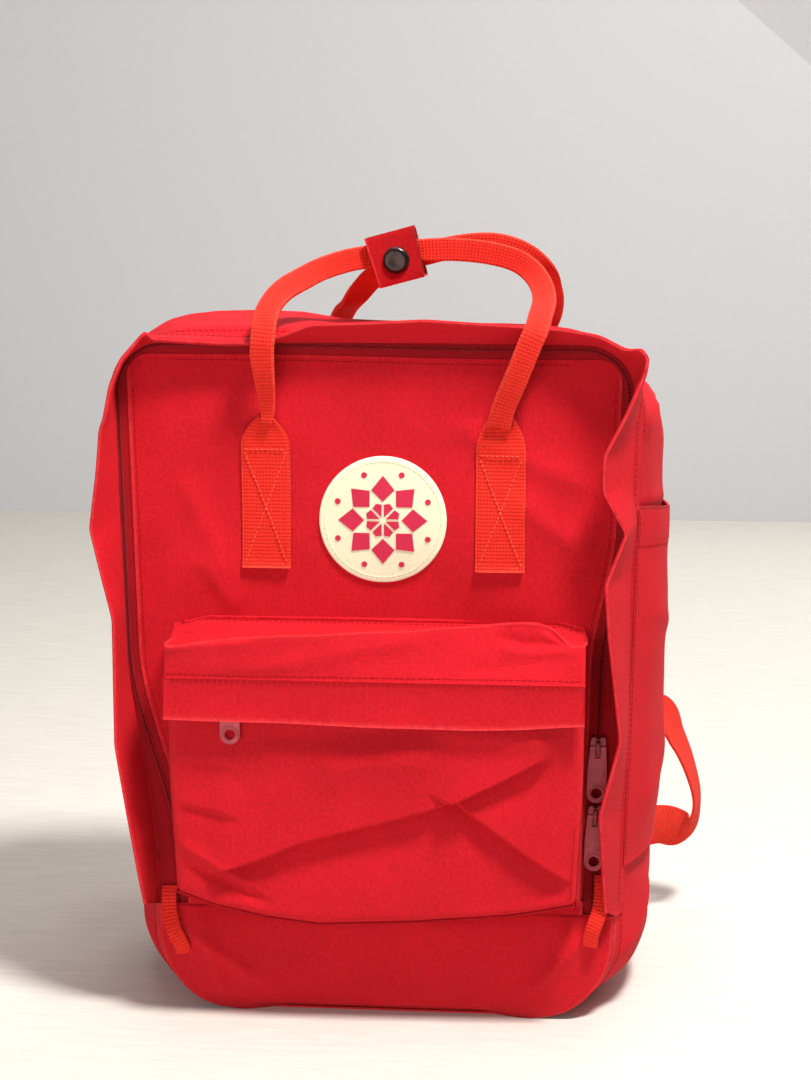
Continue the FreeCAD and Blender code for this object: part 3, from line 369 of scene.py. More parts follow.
def along_line(points, step, first=0.5):
    """Even places along a line, the direction of the line there, and where they are as
    fractions of the line's points."""
    gaps = np.linalg.norm(np.diff(points, axis=0), axis=1)
    length = np.concatenate([[0], np.cumsum(gaps)])
    index = np.interp(np.arange(step * first, length[-1], step), length, np.arange(len(points)))
    ahead = lerp_rows(points, np.clip(index + 0.5, 0, len(points) - 1))
    behind = lerp_rows(points, np.clip(index - 0.5, 0, len(points) - 1))
    return lerp_rows(points, index), unit(ahead - behind), index


def stitches(name, points, normals, body, finish="thread", slot="canvas", pitch=3.2, length=2.3,
             width=0.55):
    """A row of stitches on a surface, along a line of its points. One normal may stand for the
    normals of all the points."""
    points = np.asarray(points, float)
    places, along, index = along_line(points, pitch)
    up = unit(lerp_rows(np.broadcast_to(normals, points.shape).astype(float), index))
    up = unit(up - along * np.sum(up * along, axis=1, keepdims=True))
    row = beads(name, places + up * 0.12, along, up, (length, width, width))
    return place(row, body, slot, finish=finish)


def smooth_path(points, count):
    """A smooth line through the given points (a Catmull-Rom spline)."""
    points = np.asarray(points, float)
    padded = np.concatenate([[2 * points[0] - points[1]], points, [2 * points[-1] - points[-2]]])
    t = np.linspace(0, len(points) - 1 - 1e-9, count)
    i = t.astype(int)
    f = (t - i)[:, None]
    a, b, c, d = (padded[i + k] for k in range(4))
    return 0.5 * (2 * b + (c - a) * f + (2 * a - 5 * b + 4 * c - d) * f ** 2
                  + (3 * b - a - 3 * c + d) * f ** 3)


def tube(name, path, across, section, wear=None):
    """Sweep a closed section along a path. Across gives the section's first direction, and each
    row of the section is (across, through); both may change along the path."""
    tangent = unit(np.gradient(path, axis=0))
    across = unit(across - tangent * np.sum(across * tangent, axis=1, keepdims=True))
    through = np.cross(tangent, across)
    section = np.broadcast_to(section, (len(path),) + np.shape(section)[-2:])
    points = (path[:, None] + section[..., :1] * across[:, None]
              + section[..., 1:] * through[:, None])
    rows, columns = points.shape[:2]
    grid = np.concatenate([points, points[:, :1]], axis=1)
    last = (rows - 1) * (columns + 1)
    ends = [tuple(range(columns))[::-1], tuple(range(last, last + columns))]
    worn = None if wear is None else np.broadcast_to(wear, (rows, columns + 1))
    return make_mesh(name, grid.reshape(-1, 3), list(strips(rows, columns + 1)[:, ::-1]) + ends,
                     spread(grid)[..., ::-1].reshape(-1, 2), worn)


def rounded_section(width, thickness, radius, steps=4):
    """The outline of a rounded bar."""
    a, b = width / 2 - radius, thickness / 2 - radius
    points = []
    for corner, (x, y) in enumerate(((a, b), (-a, b), (-a, -b), (a, -b))):
        for k in range(steps):
            angle = math.pi / 2 * (corner + k / (steps - 1))
            points.append((x + radius * math.cos(angle), y + radius * math.sin(angle)))
    return np.array(points)


# ---------------------------------------------------------------- relief of cloth

def ripple(u, v, scale, seed):
    """Smooth random relief of about -1 to 1 over two arrays of millimetres."""
    random = np.random.default_rng(seed)
    waves = 9
    total = np.zeros(np.broadcast(u, v).shape)
    for _ in range(waves):
        angle, phase = random.uniform(0, 2 * np.pi, 2)
        length = scale * random.uniform(0.6, 1.7)
        total += np.sin((u * np.cos(angle) + v * np.sin(angle)) * 2 * np.pi / length + phase)
    return total / math.sqrt(waves) / 1.5


def ease(value):
    """A smooth step from 0 to 1."""
    value = np.clip(value, 0, 1)
    return value * value * (3 - 2 * value)


def within(value, low, high, soft):
    """1 between two limits, easing to 0 at both."""
    return ease((value - low) / soft) * ease((high - value) / soft)


def peak(value, middle, width):
    """1 at the middle, falling to 0 on both sides."""
    return np.exp(-((value - middle) / width) ** 2)


def rounding(over, radius):
    """How far a round corner falls back at a distance past the start of its bend."""
    over = np.clip(over, 0, radius)
    return radius - np.sqrt(np.maximum(radius ** 2 - over ** 2, 0))


def soften(values, width):
    """Blur a row of numbers a little."""
    reach = int(width * 3)
    weights = np.exp(-0.5 * (np.arange(-reach, reach + 1) / width) ** 2)
    padded = np.pad(values, reach, mode="edge")
    return np.convolve(padded, weights / weights.sum(), mode="valid")


def from_ends(count):
    """How many points each point of a row is away from the nearer end."""
    return np.minimum(np.arange(count), np.arange(count)[::-1])


def overlap(x, z, xs, zs, high, low, reach, fall, way=1, edge=0.45, fade=14):
    """The sharp step where slack cloth folds over itself along a line. The cloth above the line
    stands high, or the cloth below it if the way is -1, and the other side is low."""
    slope = np.interp(x, xs, np.gradient(np.array(zs, float), np.array(xs, float)))
    side = way * (z - np.interp(x, xs, zs)) / np.sqrt(1 + slope ** 2)
    step = 1 / (1 + np.exp(np.clip(-side / edge, -40, 40)))
    over = high * step * np.exp(-np.maximum(side, 0) / reach)
    under = low * (1 - step) * np.exp(np.minimum(side, 0) / fall)
    return within(x, xs[0], xs[-1], fade) * (over - under)


def ridges(u, v, *folds):
    """Soft rounded folds, each from a start to an end, with a height and a width."""
    total = 0.0
    for (su, sv), (eu, ev), height, width in folds:
        du, dv = eu - su, ev - sv
        length = math.hypot(du, dv)
        part = ((u - su) * du + (v - sv) * dv) / length ** 2
        side = ((v - sv) * du - (u - su) * dv) / length
        fade = ease(part * 3 + 0.5) * ease((1 - part) * 3 + 0.5)
        total = total + height * fade / (1 + (side / width) ** 2) ** 1.5
    return total


# ---------------------------------------------------------------- form of the bag

# Depths of the two seams, heights of their tops and of the crown, and the faces of the cloth.
FRONT, BACK = -65.0, 65.0
SEAM_TOP, REAR_TOP, CROWN = 375.5, 369.0, 382.0
PANEL_FACE, BACK_FACE = -66.2, 66.2
# Half widths at the base and at the crown.
FRONT_HALF, BELLY_HALF, BACK_HALF = (126, 134), (148, 151), (133, 135)
# Radii of the top corners of the front seam and of the corners of the base.
CORNER, BASE_CORNER = 27.0, 45.0
# Heights of the seam above the base and of the line where the front panel folds.
BASE_SEAM, FOLD = 88.0, 60.0


def half_width(halves, z):
    """Half a width that grows evenly from the base to the crown."""
    base, top = halves
    return base + (top - base) * z / CROWN


def left_bulge(z):
    """How far the left side of the stuffed bag stands out beyond the right side."""
    return 11.5 * ease((z - 90) / 120)


def half_at(y, z, way):
    """Half the width of the bag at a depth and a height, on the left (-1) or the right (1)."""
    v = (y - FRONT) / (BACK - FRONT)
    seams = (half_width(FRONT_HALF, z) * (2 * v - 1) * (v - 1)
             + half_width(BACK_HALF, z) * v * (2 * v - 1))
    bulge = left_bulge(z) * np.clip(1 - v, 0, 1) ** 2.2 if way < 0 else 0
    return seams + half_width(BELLY_HALF, z) * 4 * v * (1 - v) + bulge


def top_at(y):
    """Height of the top at a depth, with full shoulders near both seams."""
    seam = SEAM_TOP if y < 0 else REAR_TOP
    return seam + (CROWN - seam) * (1 - abs(y / BACK) ** 5)


def corner_radii(y):
    """Radii of the two top corners at a depth; the right one is rounder in the middle."""
    return (np.interp(y, (FRONT, -50, -15, 20, BACK), (CORNER, 46, 38, 32, 34)),
            np.interp(y, (FRONT, -40, 25, BACK), (CORNER, 66, 72, 50)))


def ring_line(y, start, end, radii, counts, inset=0.0):
    """Points (x, z) round the bag at a depth: up the left side, over a flat run and down the
    right side, with a bend of its own radius at either side."""
    sides, bends, flats = counts
    climb = 1 if end > start else -1
    halves, ends = [], []
    for way, radius in zip((-1, 1), radii):
        bend = end - climb * radius
        rise = np.linspace(start, bend, sides, endpoint=False)
        wide = half_at(y, bend, way) - inset
        turn = np.linspace(np.pi, np.pi / 2, bends, endpoint=False)
        x = np.concatenate([inset - half_at(y, rise, way), radius - wide + radius * np.cos(turn)])
        z = np.concatenate([rise, bend + climb * radius * np.sin(turn)])
        halves.append(np.stack([-way * x, z], axis=1))
        ends.append((wide - radius) * way)
    flat = np.stack([np.linspace(ends[0], ends[1], flats), np.full(flats, end)], axis=1)
    return np.concatenate([halves[0], flat, halves[1][::-1]])


def ring_normals(line):
    """Unit vectors in the plane of a ring that point away from the bag."""
    along = unit(np.gradient(line, axis=0))
    return np.stack([-along[:, 1], along[:, 0]], axis=1)


def ring_grid(even, start, end_at, radii_at, counts):
    """The strip of cloth round the bag, as a grid over its length and its depth. Its columns are
    close together at both seams. Even gives how far they reach in between, and their number."""
    reach, count = even
    rows = []
    for y in np.concatenate([np.linspace(FRONT, -56, 6), np.linspace(-reach, reach, count),
                             np.linspace(56, BACK, 6)]):
        line = ring_line(y, start, end_at(y), radii_at(y), counts)
        rows.append(points_of(line[:, 0], y, line[:, 1]))
    return np.stack(rows, axis=1)


# How far the top sags (below 0) or swells over the width of the bag.
TOP_SHAPE = ((-150, -125, -104, -81, -55, -30, 0, 60, 92, 115, 150),
             (0, 0.2, 2.6, 3.3, 2.5, -1.5, -2.5, -2.5, -3.5, -1, 0))


def gusset_relief(grid, normals):
    """Wrinkles of the sides and the sag of the top, as a distance along the normals."""
    x, y, z = np.moveaxis(grid, -1, 0)
    sag = np.interp(x, *TOP_SHAPE) * np.clip(normals[..., 2], 0, 1) ** 2
    run = np.where(x < 0, z, 900 - z)
    folds = ripple(run, y * 1.4, 85, 3) * 1.6 + ripple(run, y, 34, 8) * 0.5
    for height, lean, size in ((330, 20, 2.6), (292, -14, 2.0), (150, 16, 1.6), (118, -10, 1.8)):
        folds = folds + (
            ridges(y, z, ((-60, height), (50, height + lean), size, 6)) * (x > 0)
            + ridges(y, z, ((-55, height - 12), (45, height - lean), size, 7)) * (x < 0))
    return within(y, FRONT, BACK, 14) * (sag + folds * 0.8)


def make_gusset():
    """The sides and top, with stitched seams along the front, the back and both feet."""
    grid = ring_grid((53, 40), BASE_SEAM, top_at, corner_radii, (90, 22, 84))
    normals = normals_of(grid)
    grid = grid + normals * gusset_relief(grid, normals)[..., None]
    normals = lay("gusset_cloth", grid, 1.2, "bag_body", "canvas", "gusset",
                  wear=0.5 * (from_ends(grid.shape[1]) < 2))
    for name, column in (("front", 5), ("rear", -4)):
        stitches("gusset_stitch_" + name, grid[2:-2, column], normals[2:-2, column], "bag_body")
    for name, row in (("left", 2), ("right", -3)):
        stitches("gusset_foot_stitch_" + name, grid[row], normals[row], "bag_body")


def make_base():
    """The tub below the gusset: its sides and floor, with a thicker hem at its seam."""
    grid = ring_grid((52, 36), BASE_SEAM, lambda y: 0.0, lambda y: (BASE_CORNER, BASE_CORNER),
                     (26, 28, 60))
    normals = normals_of(grid, flip=True)
    x, y, z = np.moveaxis(grid, -1, 0)
    folds = (ripple(z * 1.3 + np.sign(x) * 40, y, 60, 21) * 1.8
             + ridges(y, z, ((-60, 30), (-10, 66), 2.2, 6)))
    hem = 1.1 * np.exp(-from_ends(len(grid)) / 1.2)[:, None]
    relief = within(y, FRONT, BACK, 16) * ease(z / 25) * folds
    grid = grid + normals * (relief + hem)[..., None]
    grid[..., 2] = np.maximum(grid[..., 2], 0.0)
    wear = np.maximum(0.7 * (from_ends(grid.shape[1]) < 2), 0.4 * (grid[..., 2] < 4))
    normals = lay("base_cloth", grid, 1.2, "bag_body", "canvas", "base_panel", True, wear)
    for name, column in (("front", 4), ("rear", -4)):
        stitches("base_stitch_" + name, grid[4:-4, column], normals[4:-4, column], "bag_body")


# ---------------------------------------------------------------- front of the bag

# How far the edge of the front panel lies in from the front seam.
PANEL_INSET = 17.4


def zip_shift(x, z):
    """How far the zip of the stuffed bag lies out towards the seam, on either side of x."""
    most = 11.0 - 1.5 * ease((x + 60) / 120)
    return most * np.where(x < 0, ease((z - 90) / 120), ease((z - 200) / 80))


def panel_half(side, z):
    """Half the width of the front panel at a height, on the left (below 0) or the right."""
    way = np.where(side < 0, -1.0, 1.0)
    bulge = np.where(side < 0, left_bulge(z), 0)
    return half_width(FRONT_HALF, z) + bulge - PANEL_INSET + zip_shift(way, z)


def panel_top(x):
    """Height of the upper edge of the front panel."""
    return SEAM_TOP - PANEL_INSET + zip_shift(x, 351.6)


def panel_relief(x, z):
    """How far the front panel stands forward of flat cloth."""
    free = ease((panel_half(x, z) - abs(x)) / 22) * ease((panel_top(x) - z) / 26)
    soft = (ripple(x, z, 120, 5) * 1.6 + ripple(x, z * 0.8, 52, 11) * 0.7
            + ridges(x, z, ((108, 300), (40, 330), 2.4, 9), ((112, 262), (70, 292), 2.2, 8),
                     ((-108, 300), (-84, 246), 2.4, 9), ((-100, 258), (-80, 232), 1.8, 7)))
    belly = 1.75 * np.sin(np.pi * np.clip((z - 64) / 287, 0, 1))
    return free * (soft + belly)


def lip_relief(x, z):
    """How far the front of the base stands forward below the fold."""
    across = ease((half_width(FRONT_HALF, z) - abs(x)) / 26)
    full = 6.5 * np.sin(np.pi * np.clip((z + 14) / 96, 0, 1)) ** 0.8
    folds = ripple(x, z, 70, 31) + ridges(
        x, z, ((-116, 52), (-70, 20), 2.6, 5), ((112, 50), (78, 14), 2.8, 5),
        ((-104, 60), (-88, 8), 1.8, 5), ((100, 58), (92, 10), 1.6, 4))
    return across * (full + folds * ease(z / 14))


def front_y(x, z):
    """The outer face of the front cloth."""
    low = 1 - ease((z - 52) / 22)
    return PANEL_FACE - panel_relief(x, z) * (1 - low) - lip_relief(x, z) * low


def make_front():
    """The front cloth: the lip of the base below the fold, and the panel that folds down."""
    heights = np.concatenate([np.linspace(0, 8, 6), np.linspace(10, 59, 26), [60.0, 61.5],
                              np.linspace(63, 369.1, 156)])
    across = np.sin(np.linspace(-1, 1, 161) * np.pi / 2 * 0.82) / math.sin(np.pi / 2 * 0.82)
    z = np.broadcast_to(heights[:, None], (len(heights), len(across)))
    base_half = half_width(FRONT_HALF, z) - rounding(BASE_CORNER - z, BASE_CORNER)
    x = np.where(z > FOLD + 0.5, panel_half(across, z), base_half) * across
    corner = 13.0
    z = np.minimum(z, panel_top(x) - rounding(abs(x) - panel_half(x, z) + corner, corner))
    curl = ease((half_width(FRONT_HALF, z) - BASE_CORNER - abs(x)) / 30) * ease((8 - z) / 8) ** 2
    grid = points_of(x, front_y(x, z) + 7.0 * curl, z)
    wear = 0.5 * (abs(across) > 0.985) + 0.6 * np.exp(-z / 3)
    piece = cloth("front_cloth", grid, 1.1, True, wear)
    place(piece, None, "canvas", "front_panel")
    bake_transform(piece)
    margin = 3.2
    rows, columns = np.linspace(66, 352, 176), np.linspace(-112, 98, 120)
    for name, x, z in (("left", -(panel_half(-1, rows) - margin), rows),
                       ("right", panel_half(1, rows) - margin, rows),
                       ("top", columns, panel_top(columns) - margin)):
        stitches("panel_stitch_" + name, points_of(x, front_y(x, z), z), FORWARD, "front_panel")


# The edge of the storm flap: where it is along the seam (0-1 up the left, 1-2 the left corner,
# 2-3 the top, 3-4 the right corner, 4-5 down the right), then its x, y and z.
FLAP_EDGE = np.array([
    (0.0, -132, -80.0, 64), (0.155, -137, -86.5, 107), (0.338, -144.5, -86.5, 158),
    (0.59, -144, -86.5, 228), (0.766, -155, -86.5, 277), (0.86, -151, -86.5, 304),
    (0.957, -148.5, -86.0, 330), (0.985, -146, -85.5, 337), (1.2, -143, -85.0, 353),
    (1.5, -137, -84.0, 367), (1.8, -124.5, -82.0, 381.5), (2.0, -120, -80.0, 378),
    (2.156, -83, -77.0, 375.6), (2.218, -69, -77.0, 376), (2.284, -54, -77.0, 379),
    (2.36, -37, -78.0, 385.5), (2.498, -6, -78.0, 386.5), (2.627, 23, -78.0, 388),
    (2.742, 49, -78.0, 386.5), (2.858, 75, -78.0, 385), (2.938, 93, -79.0, 384),
    (3.0, 104, -80.0, 382.5), (3.2, 114, -82.0, 380.9), (3.4, 128, -86.0, 374),
    (3.5, 134.8, -86.0, 375.3), (3.65, 138.5, -87.0, 370.2), (3.85, 137.6, -88.0, 362.6),
    (4.0, 129, -89.5, 342), (4.079, 118, -90.0, 320),
    (4.147, 118, -90.0, 301), (4.227, 130, -90.0, 279), (4.324, 120, -90.0, 252),
    (4.421, 122, -90.0, 225), (4.633, 129, -88.0, 166), (4.784, 119, -87.0, 124),
    (5.0, 123, -78.0, 64)])


def make_storm_flap():
    """The rolled lip that stands forward round the opening and leans in and out."""
    counts = (150, 26, 120)
    sides, bends, flats = counts
    root_y, roll, steps = -57.0, 1.9, 34
    line = ring_line(FRONT, FOLD, SEAM_TOP, (CORNER, CORNER), counts)
    along = np.concatenate([part + np.arange(count) / count for part, count in
                            enumerate((sides, bends, flats, bends, sides))])
    tip = np.stack([soften(np.interp(along, FLAP_EDGE[:, 0], FLAP_EDGE[:, k]), 0.8)
                    for k in (1, 2, 3)], axis=1)
    tip = tip + FORWARD * ripple(along * 300, along * 0, 60, 41)[:, None] * 0.5
    outward = ring_normals(line)
    away = points_of(outward[:, 0], 0, outward[:, 1])
    seam = points_of(line[:, 0], FRONT, line[:, 1])
    outer = ring_line(root_y, FOLD, top_at(root_y), corner_radii(root_y), counts)
    root = points_of(outer[:, 0], root_y, outer[:, 1]) + away
    part = ((tip[:, 1] - FRONT) / (tip[:, 1] - root_y))[:, None]
    straight = np.sum((tip + (root - tip) * part - seam) * away, axis=1)
    edge = seam + away * np.maximum(1.1, straight)[:, None]
    lean = np.sum((tip - seam) * away, axis=1)[:, None]
    controls = np.stack([
        seam + away * -0.6,
        seam + (tip - seam) * 0.5 + away * (-1.2 - 0.04 * lean),
        tip - away * roll * 0.8 + FORWARD * -1.2,
        tip + FORWARD * 0.2,
        tip + away * roll * 0.6 + FORWARD * -1.0,
        tip + (edge - tip) * 0.5 + away * 0.7,
        edge,
        edge + (root - edge) * 0.5,
        root], axis=1)
    grid = np.stack([smooth_path(row, steps) for row in controls])[::-1]
    normals = lay("storm_flap_cloth", grid, 0.9, "bag_body", "canvas", "storm_flap", True,
                  peak(np.arange(steps), 12.4, 1.6))
    stitches("flap_stitch", grid[4:-4, 26], normals[4:-4, 26], "bag_body")


def zip_ring(inset, y, bottom=57.0):
    """Points of a line of the main zip at a distance in from the front seam, and the vectors
    in its plane that point away from the bag."""
    radius = max(CORNER - inset, 5.0)
    line = ring_line(FRONT, bottom, SEAM_TOP - inset, (radius, radius), (140, 14, 110), inset)
    share = min(inset, 7.0) / 7.0
    line = line + ring_normals(line) * (share * zip_shift(line[:, 0], line[:, 1]))[:, None]
    out = ring_normals(line)
    return points_of(line[:, 0], y, line[:, 1]), points_of(out[:, 0], 0, out[:, 1])


def make_tape(name, start, end, body, node):
    """Tape from one inset to another, with its two rows of stitches."""
    first, last = (zip_ring(inset, -65.8)[0][:, None] for inset in (start, end))
    steps = np.linspace(0, 1, 7)[None, :, None]
    grid = first * (1 - steps) + last * steps
    grid[:, 1:-1, 1] -= 0.12
    lay(name, grid, 0.7, body, "zip_tape", node, True)
    for number, part in enumerate((0.22, 0.8)):
        line, _ = zip_ring(start + (end - start) * part, -65.95, 66.0)
        stitches("%s_stitch_%d" % (name, number), line, FORWARD, body, slot="zip_tape", pitch=2.0,
                 length=1.5, width=0.4)


def make_teeth(name, line, inward, body, node, first):
    """One half of the chain: a coil whose turns lie across the line."""
    places, along, index = along_line(line, 1.4, first)
    across = unit(lerp_rows(np.broadcast_to(inward, line.shape), index))
    row = beads(name, places, across, unit(np.cross(along, across)), (2.5, 0.66, 2.0))
    place(row, body, "zip_coil", node)


def make_main_zip():
    """The two tapes of the main zip and the two halves of its chain."""
    make_tape("gusset_tape", 1.2, 11.9, "bag_body", "gusset_zip_tape")
    make_tape("panel_tape", 12.7, 18.8, "front_panel", "panel_zip_tape")
    for name, inset, way, body, node, first in (
            ("gusset_teeth", 11.5, -1, "bag_body", "gusset_zip_coil", 0.25),
            ("panel_teeth", 13.1, 1, "front_panel", "panel_zip_coil", 0.75)):
        line, out = zip_ring(inset, -65.6)
        make_teeth(name, line, out * way, body, node, first)


# ---------------------------------------------------------------- front pocket

# Half the width and the depth of the pocket, and the heights of its foot and of the lower and
# upper edges of its zip.
POCKET_HALF, POCKET_DEPTH = 109.3, 28.8
POCKET_FOOT, POCKET_LIP, POCKET_LEDGE = 68.0, 187.0, 200.0


def wall_map(count, low, high, share, both=True):
    """Places across a box of cloth, and how far it stands out there: 0 at its seam and 1 on its
    face. The first wall takes a share of the places, and so does the last if there are both."""
    t = np.linspace(0, 1, count)
    last = share if both else 0.0
    position = low + (high - low) * np.clip((t - share) / (1 - share - last), 0, 1)
    depth = np.minimum(t, 1 - t) / share if both else t / share
    return position, np.clip(depth, 0, 1)


def pocket_relief(x, z):
    """The sharp folds of the slack front of the pocket."""
    sharp = (
        overlap(x, z, (-92, -64, -42, -15, 12, 39, 66, 96), (86, 97, 107, 115, 123, 132, 145, 162),
                3.8, 4.6, 30, 12, edge=0.3)
        + overlap(x, z, (24, 40, 60, 84, 112), (139, 132, 118, 100, 79), 3.8, 4.6, 26, 12,
                  edge=0.3, fade=22)
        + overlap(x, z, (-112, -96, -70), (154, 151, 147), 1.2, 1.0, 12, 8, edge=0.8)
        + overlap(x, z, (-112, -96, -68), (129, 126, 119), 1.4, 1.2, 14, 9, edge=0.8))
    return ripple(x, z, 80, 61) * 0.9 + sharp + ridges(
        x, z, ((34, 172), (98, 168), 2.4, 9), ((-56, 166), (24, 172), -2.2, 8),
        ((-30, 150), (30, 160), 2.2, 12), ((-104, 104), (-66, 82), 2.6, 5),
        ((-98, 88), (-60, 76), -2.2, 4))


def widen(x, out):
    """The pocket stands out further to the left than to the right."""
    return np.where(x < 0, x * (1 + 0.046 * out), x)


def make_pocket_body():
    """The pocket's walls and its slack front, from the foot to the zip."""
    columns, rows, wall = 300, 180, 18
    xs, gx = wall_map(columns, -POCKET_HALF, POCKET_HALF, wall / columns)
    zs, gz = wall_map(rows, POCKET_FOOT, POCKET_LEDGE, wall / rows, both=False)
    x, z = np.meshgrid(xs, zs)
    out = np.minimum(gx[None], gz[:, None])
    cut = (3.0 * rounding(1 - (POCKET_HALF - abs(x)) / 4, 1)
           + 4.0 * rounding(1 - (z - POCKET_FOOT) / 5, 1))
    slack = ease((POCKET_HALF - abs(x)) / 9) * ease((z - POCKET_FOOT) / 9) * ease((194 - z) / 18)
    y = PANEL_FACE - out * POCKET_DEPTH + (cut - pocket_relief(x, z) * slack) * (out >= 1)
    sagging = np.interp(x, (-112, -89, -60, -32, 20, 70, 108), (11, 3, -3.5, -7, -4, 1, 8))
    z = z + sagging * (1 - ease((z - POCKET_FOOT) / 46)) * ease(out * 1.6)
    x = x - np.sign(x) * 3.0 * (1 - ease((z - 66) / 90)) * ease(out) * ease((abs(x) - 80) / 30)
    below_zip = zs <= POCKET_LIP + 0.5
    grid = points_of(widen(x, out), y, z)[below_zip]
    wear = 0.5 * np.exp(-abs(abs(x) - POCKET_HALF) / 1.6)[below_zip]
    normals = lay("pocket_cloth", grid, 1.0, "front_panel", "canvas", "pocket_body", True, wear)
    side = (slice(wall + 4, wall + 66), columns - wall - 5)
    stitches("pocket_side_stitch", grid[side], normals[side], "front_panel")
    stitches("pocket_foot_stitch", grid[wall - 4, wall + 8:-wall - 8], (0, -0.5, -1),
             "front_panel")


def make_pocket_cheeks():
    """The upper ends of the pocket's side walls, beside its zip."""
    path = smooth_path([(109.3, -66.4), (109.4, -76), (109.4, -86), (109.0, -92), (107.5, -94.6),
                        (104.5, -95.1), (101.6, -95.1)], 24)
    out = np.clip((PANEL_FACE - path[:, 1]) / POCKET_DEPTH, 0, 1)
    rows = np.linspace(POCKET_LIP, POCKET_LEDGE + 0.5, 8)[:, None]
    for name, way in (("left", -1), ("right", 1)):
        grid = points_of(widen(way * path[:, 0], out), path[:, 1], rows)
        lay("pocket_cheek_" + name, grid, 1.0, "front_panel", "canvas", flip=way < 0)


def make_pocket_top():
    """The top of the pocket: a band that drops from its rim, with tucks at both corners."""
    columns, steps, wall = 300, 60, 18
    xs, gx = wall_map(columns, -POCKET_HALF, POCKET_HALF, wall / columns)
    ridge_y = soften(np.interp(xs, (-110, -60, 30, 80, 110), (-98.5, -97.0, -90.0, -84.0, -90.0)),
                     6.0)
    ridge_z = soften(np.interp(xs, (-110, -68, 30, 84, 96, 110),
                               (217.0, 221.5, 226.5, 229.5, 225.0, 218.5)), 4.0)
    ridge_z = ridge_z + ripple(xs, xs * 0, 40, 71) * 0.5
    back_z = 225.0 - 3.0 * ease((abs(xs) - 94) / 14)
    grid = []
    for x, out, fold_y, fold_z, back in zip(xs, gx, ridge_y, ridge_z, back_z):
        deep = PANEL_FACE + (fold_y - PANEL_FACE) * out
        low_y = PANEL_FACE + (-101.0 - PANEL_FACE) * out
        grid.append(smooth_path([
            (x, PANEL_FACE, back), (x, PANEL_FACE - 8 * out, back - 1.2),
            (x, deep + 7 * out, fold_z - 0.6), (x, deep, fold_z),
            (x, deep - 1.6 * out, fold_z - 2.0), (x, deep * 0.5 + low_y * 0.5 - 0.6 * out, 211.0),
            (x, low_y, 199.6)], steps))
    grid = np.stack(grid)
    x, y, z = np.moveaxis(grid, -1, 0)
    front = ease((PANEL_FACE - 10 - y) / 12) * ease((POCKET_HALF + 2 - abs(x)) / 5)
    folds = (
        overlap(x, z, (60, 76, 90, 112), (221, 217, 217.5, 221), 2.6, 5.0, 8, 6, way=-1, fade=9)
        + overlap(x, z, (84, 96, 112), (226, 221.5, 224), 1.8, 2.0, 4, 4, way=-1, fade=6)
        + overlap(x, z, (-113, -100, -62), (216, 218.5, 221), 1.6, 2.4, 6, 5, way=-1, fade=9)
        + ridges(x, z, ((-60, 206), (20, 222), 1.8, 6), ((44, 204), (96, 212), -1.4, 6))
        + ripple(x, z, 46, 73) * 0.7)
    dip = 5.0 * (peak(x, 101, 6.5) + 0.8 * peak(x, -104, 6))
    grid = points_of(widen(x, gx[:, None]), y - folds * front * ease((z - 200) / 7),
                     z - dip * ease((z - 216) / 6) * front)
    normals = lay("pocket_top_cloth", grid, 1.0, "front_panel", "canvas", "pocket_top", True,
                  peak(np.arange(steps), 30, 5.0) * 0.5)
    stitches("pocket_band_stitch", grid[19:-19, -3], normals[19:-19, -3], "front_panel")
    stitches("pocket_rim_stitch", grid[22:-22, 5], normals[22:-22, 5], "front_panel")
    rim = points_of(xs, PANEL_FACE - 0.8, back_z + 0.6)[wall:-wall]
    cord = tube("pocket_rim", rim, (0.0, 1.0, 0.0), rounded_section(2.2, 2.6, 1.0))
    place(cord, "front_panel", "canvas", finish="canvas_plain")


def make_pocket_flap():
    """The flap over the pocket's zip, hanging a little unevenly from its stitched edge."""
    xs = np.linspace(-POCKET_HALF - 0.4, POCKET_HALF, 120)
    low = soften(np.interp(xs, (-110, -60, 0, 48, 80, 110),
                           (177.5, 176.6, 175.4, 174.8, 176.0, 178.6)), 4.0)
    high = POCKET_LEDGE - 0.2
    part = np.linspace(0, 1, 20)[:, None]
    y = -101.4 - 1.4 * part ** 2 + 0.6 * np.sin(part * math.pi)
    grid = points_of(widen(xs, 1.0), y - ripple(xs, xs * 0, 74, 81) * 1.1 * part,
                     high + (low - high) * part)
    normals = lay("pocket_flap_cloth", grid, 1.2, "pocket_flap", "canvas", "pocket_flap",
                  wear=peak(part, 1, 0.07) * 0.8)
    stitches("pocket_flap_stitch", grid[1, 2:-2], normals[1, 2:-2], "pocket_flap")


def make_pocket_zip():
    """The two halves of the pocket's chain and their tapes."""
    for name, z, way, first in (("lower", 193.2, -1, 0.25), ("upper", 194.8, 1, 0.75)):
        make_teeth("pocket_teeth_" + name, points_of(np.linspace(-101.6, 101.6, 60), -94.7, z),
                   (0.0, 0.0, float(way)), "front_panel", "pocket_zip_coil_" + name, first)
    for name, low, high in (("lower", POCKET_LIP, 192.2), ("upper", 195.8, POCKET_LEDGE)):
        grid = points_of(np.linspace(-101.8, 101.8, 90), -95.0, np.linspace(low, high, 6)[:, None])
        grid[1:-1, :, 1] -= 0.12
        lay("pocket_tape_" + name, grid, 0.7, "front_panel", "zip_tape",
            "pocket_zip_tape_" + name, True)


# ---------------------------------------------------------------- side pockets

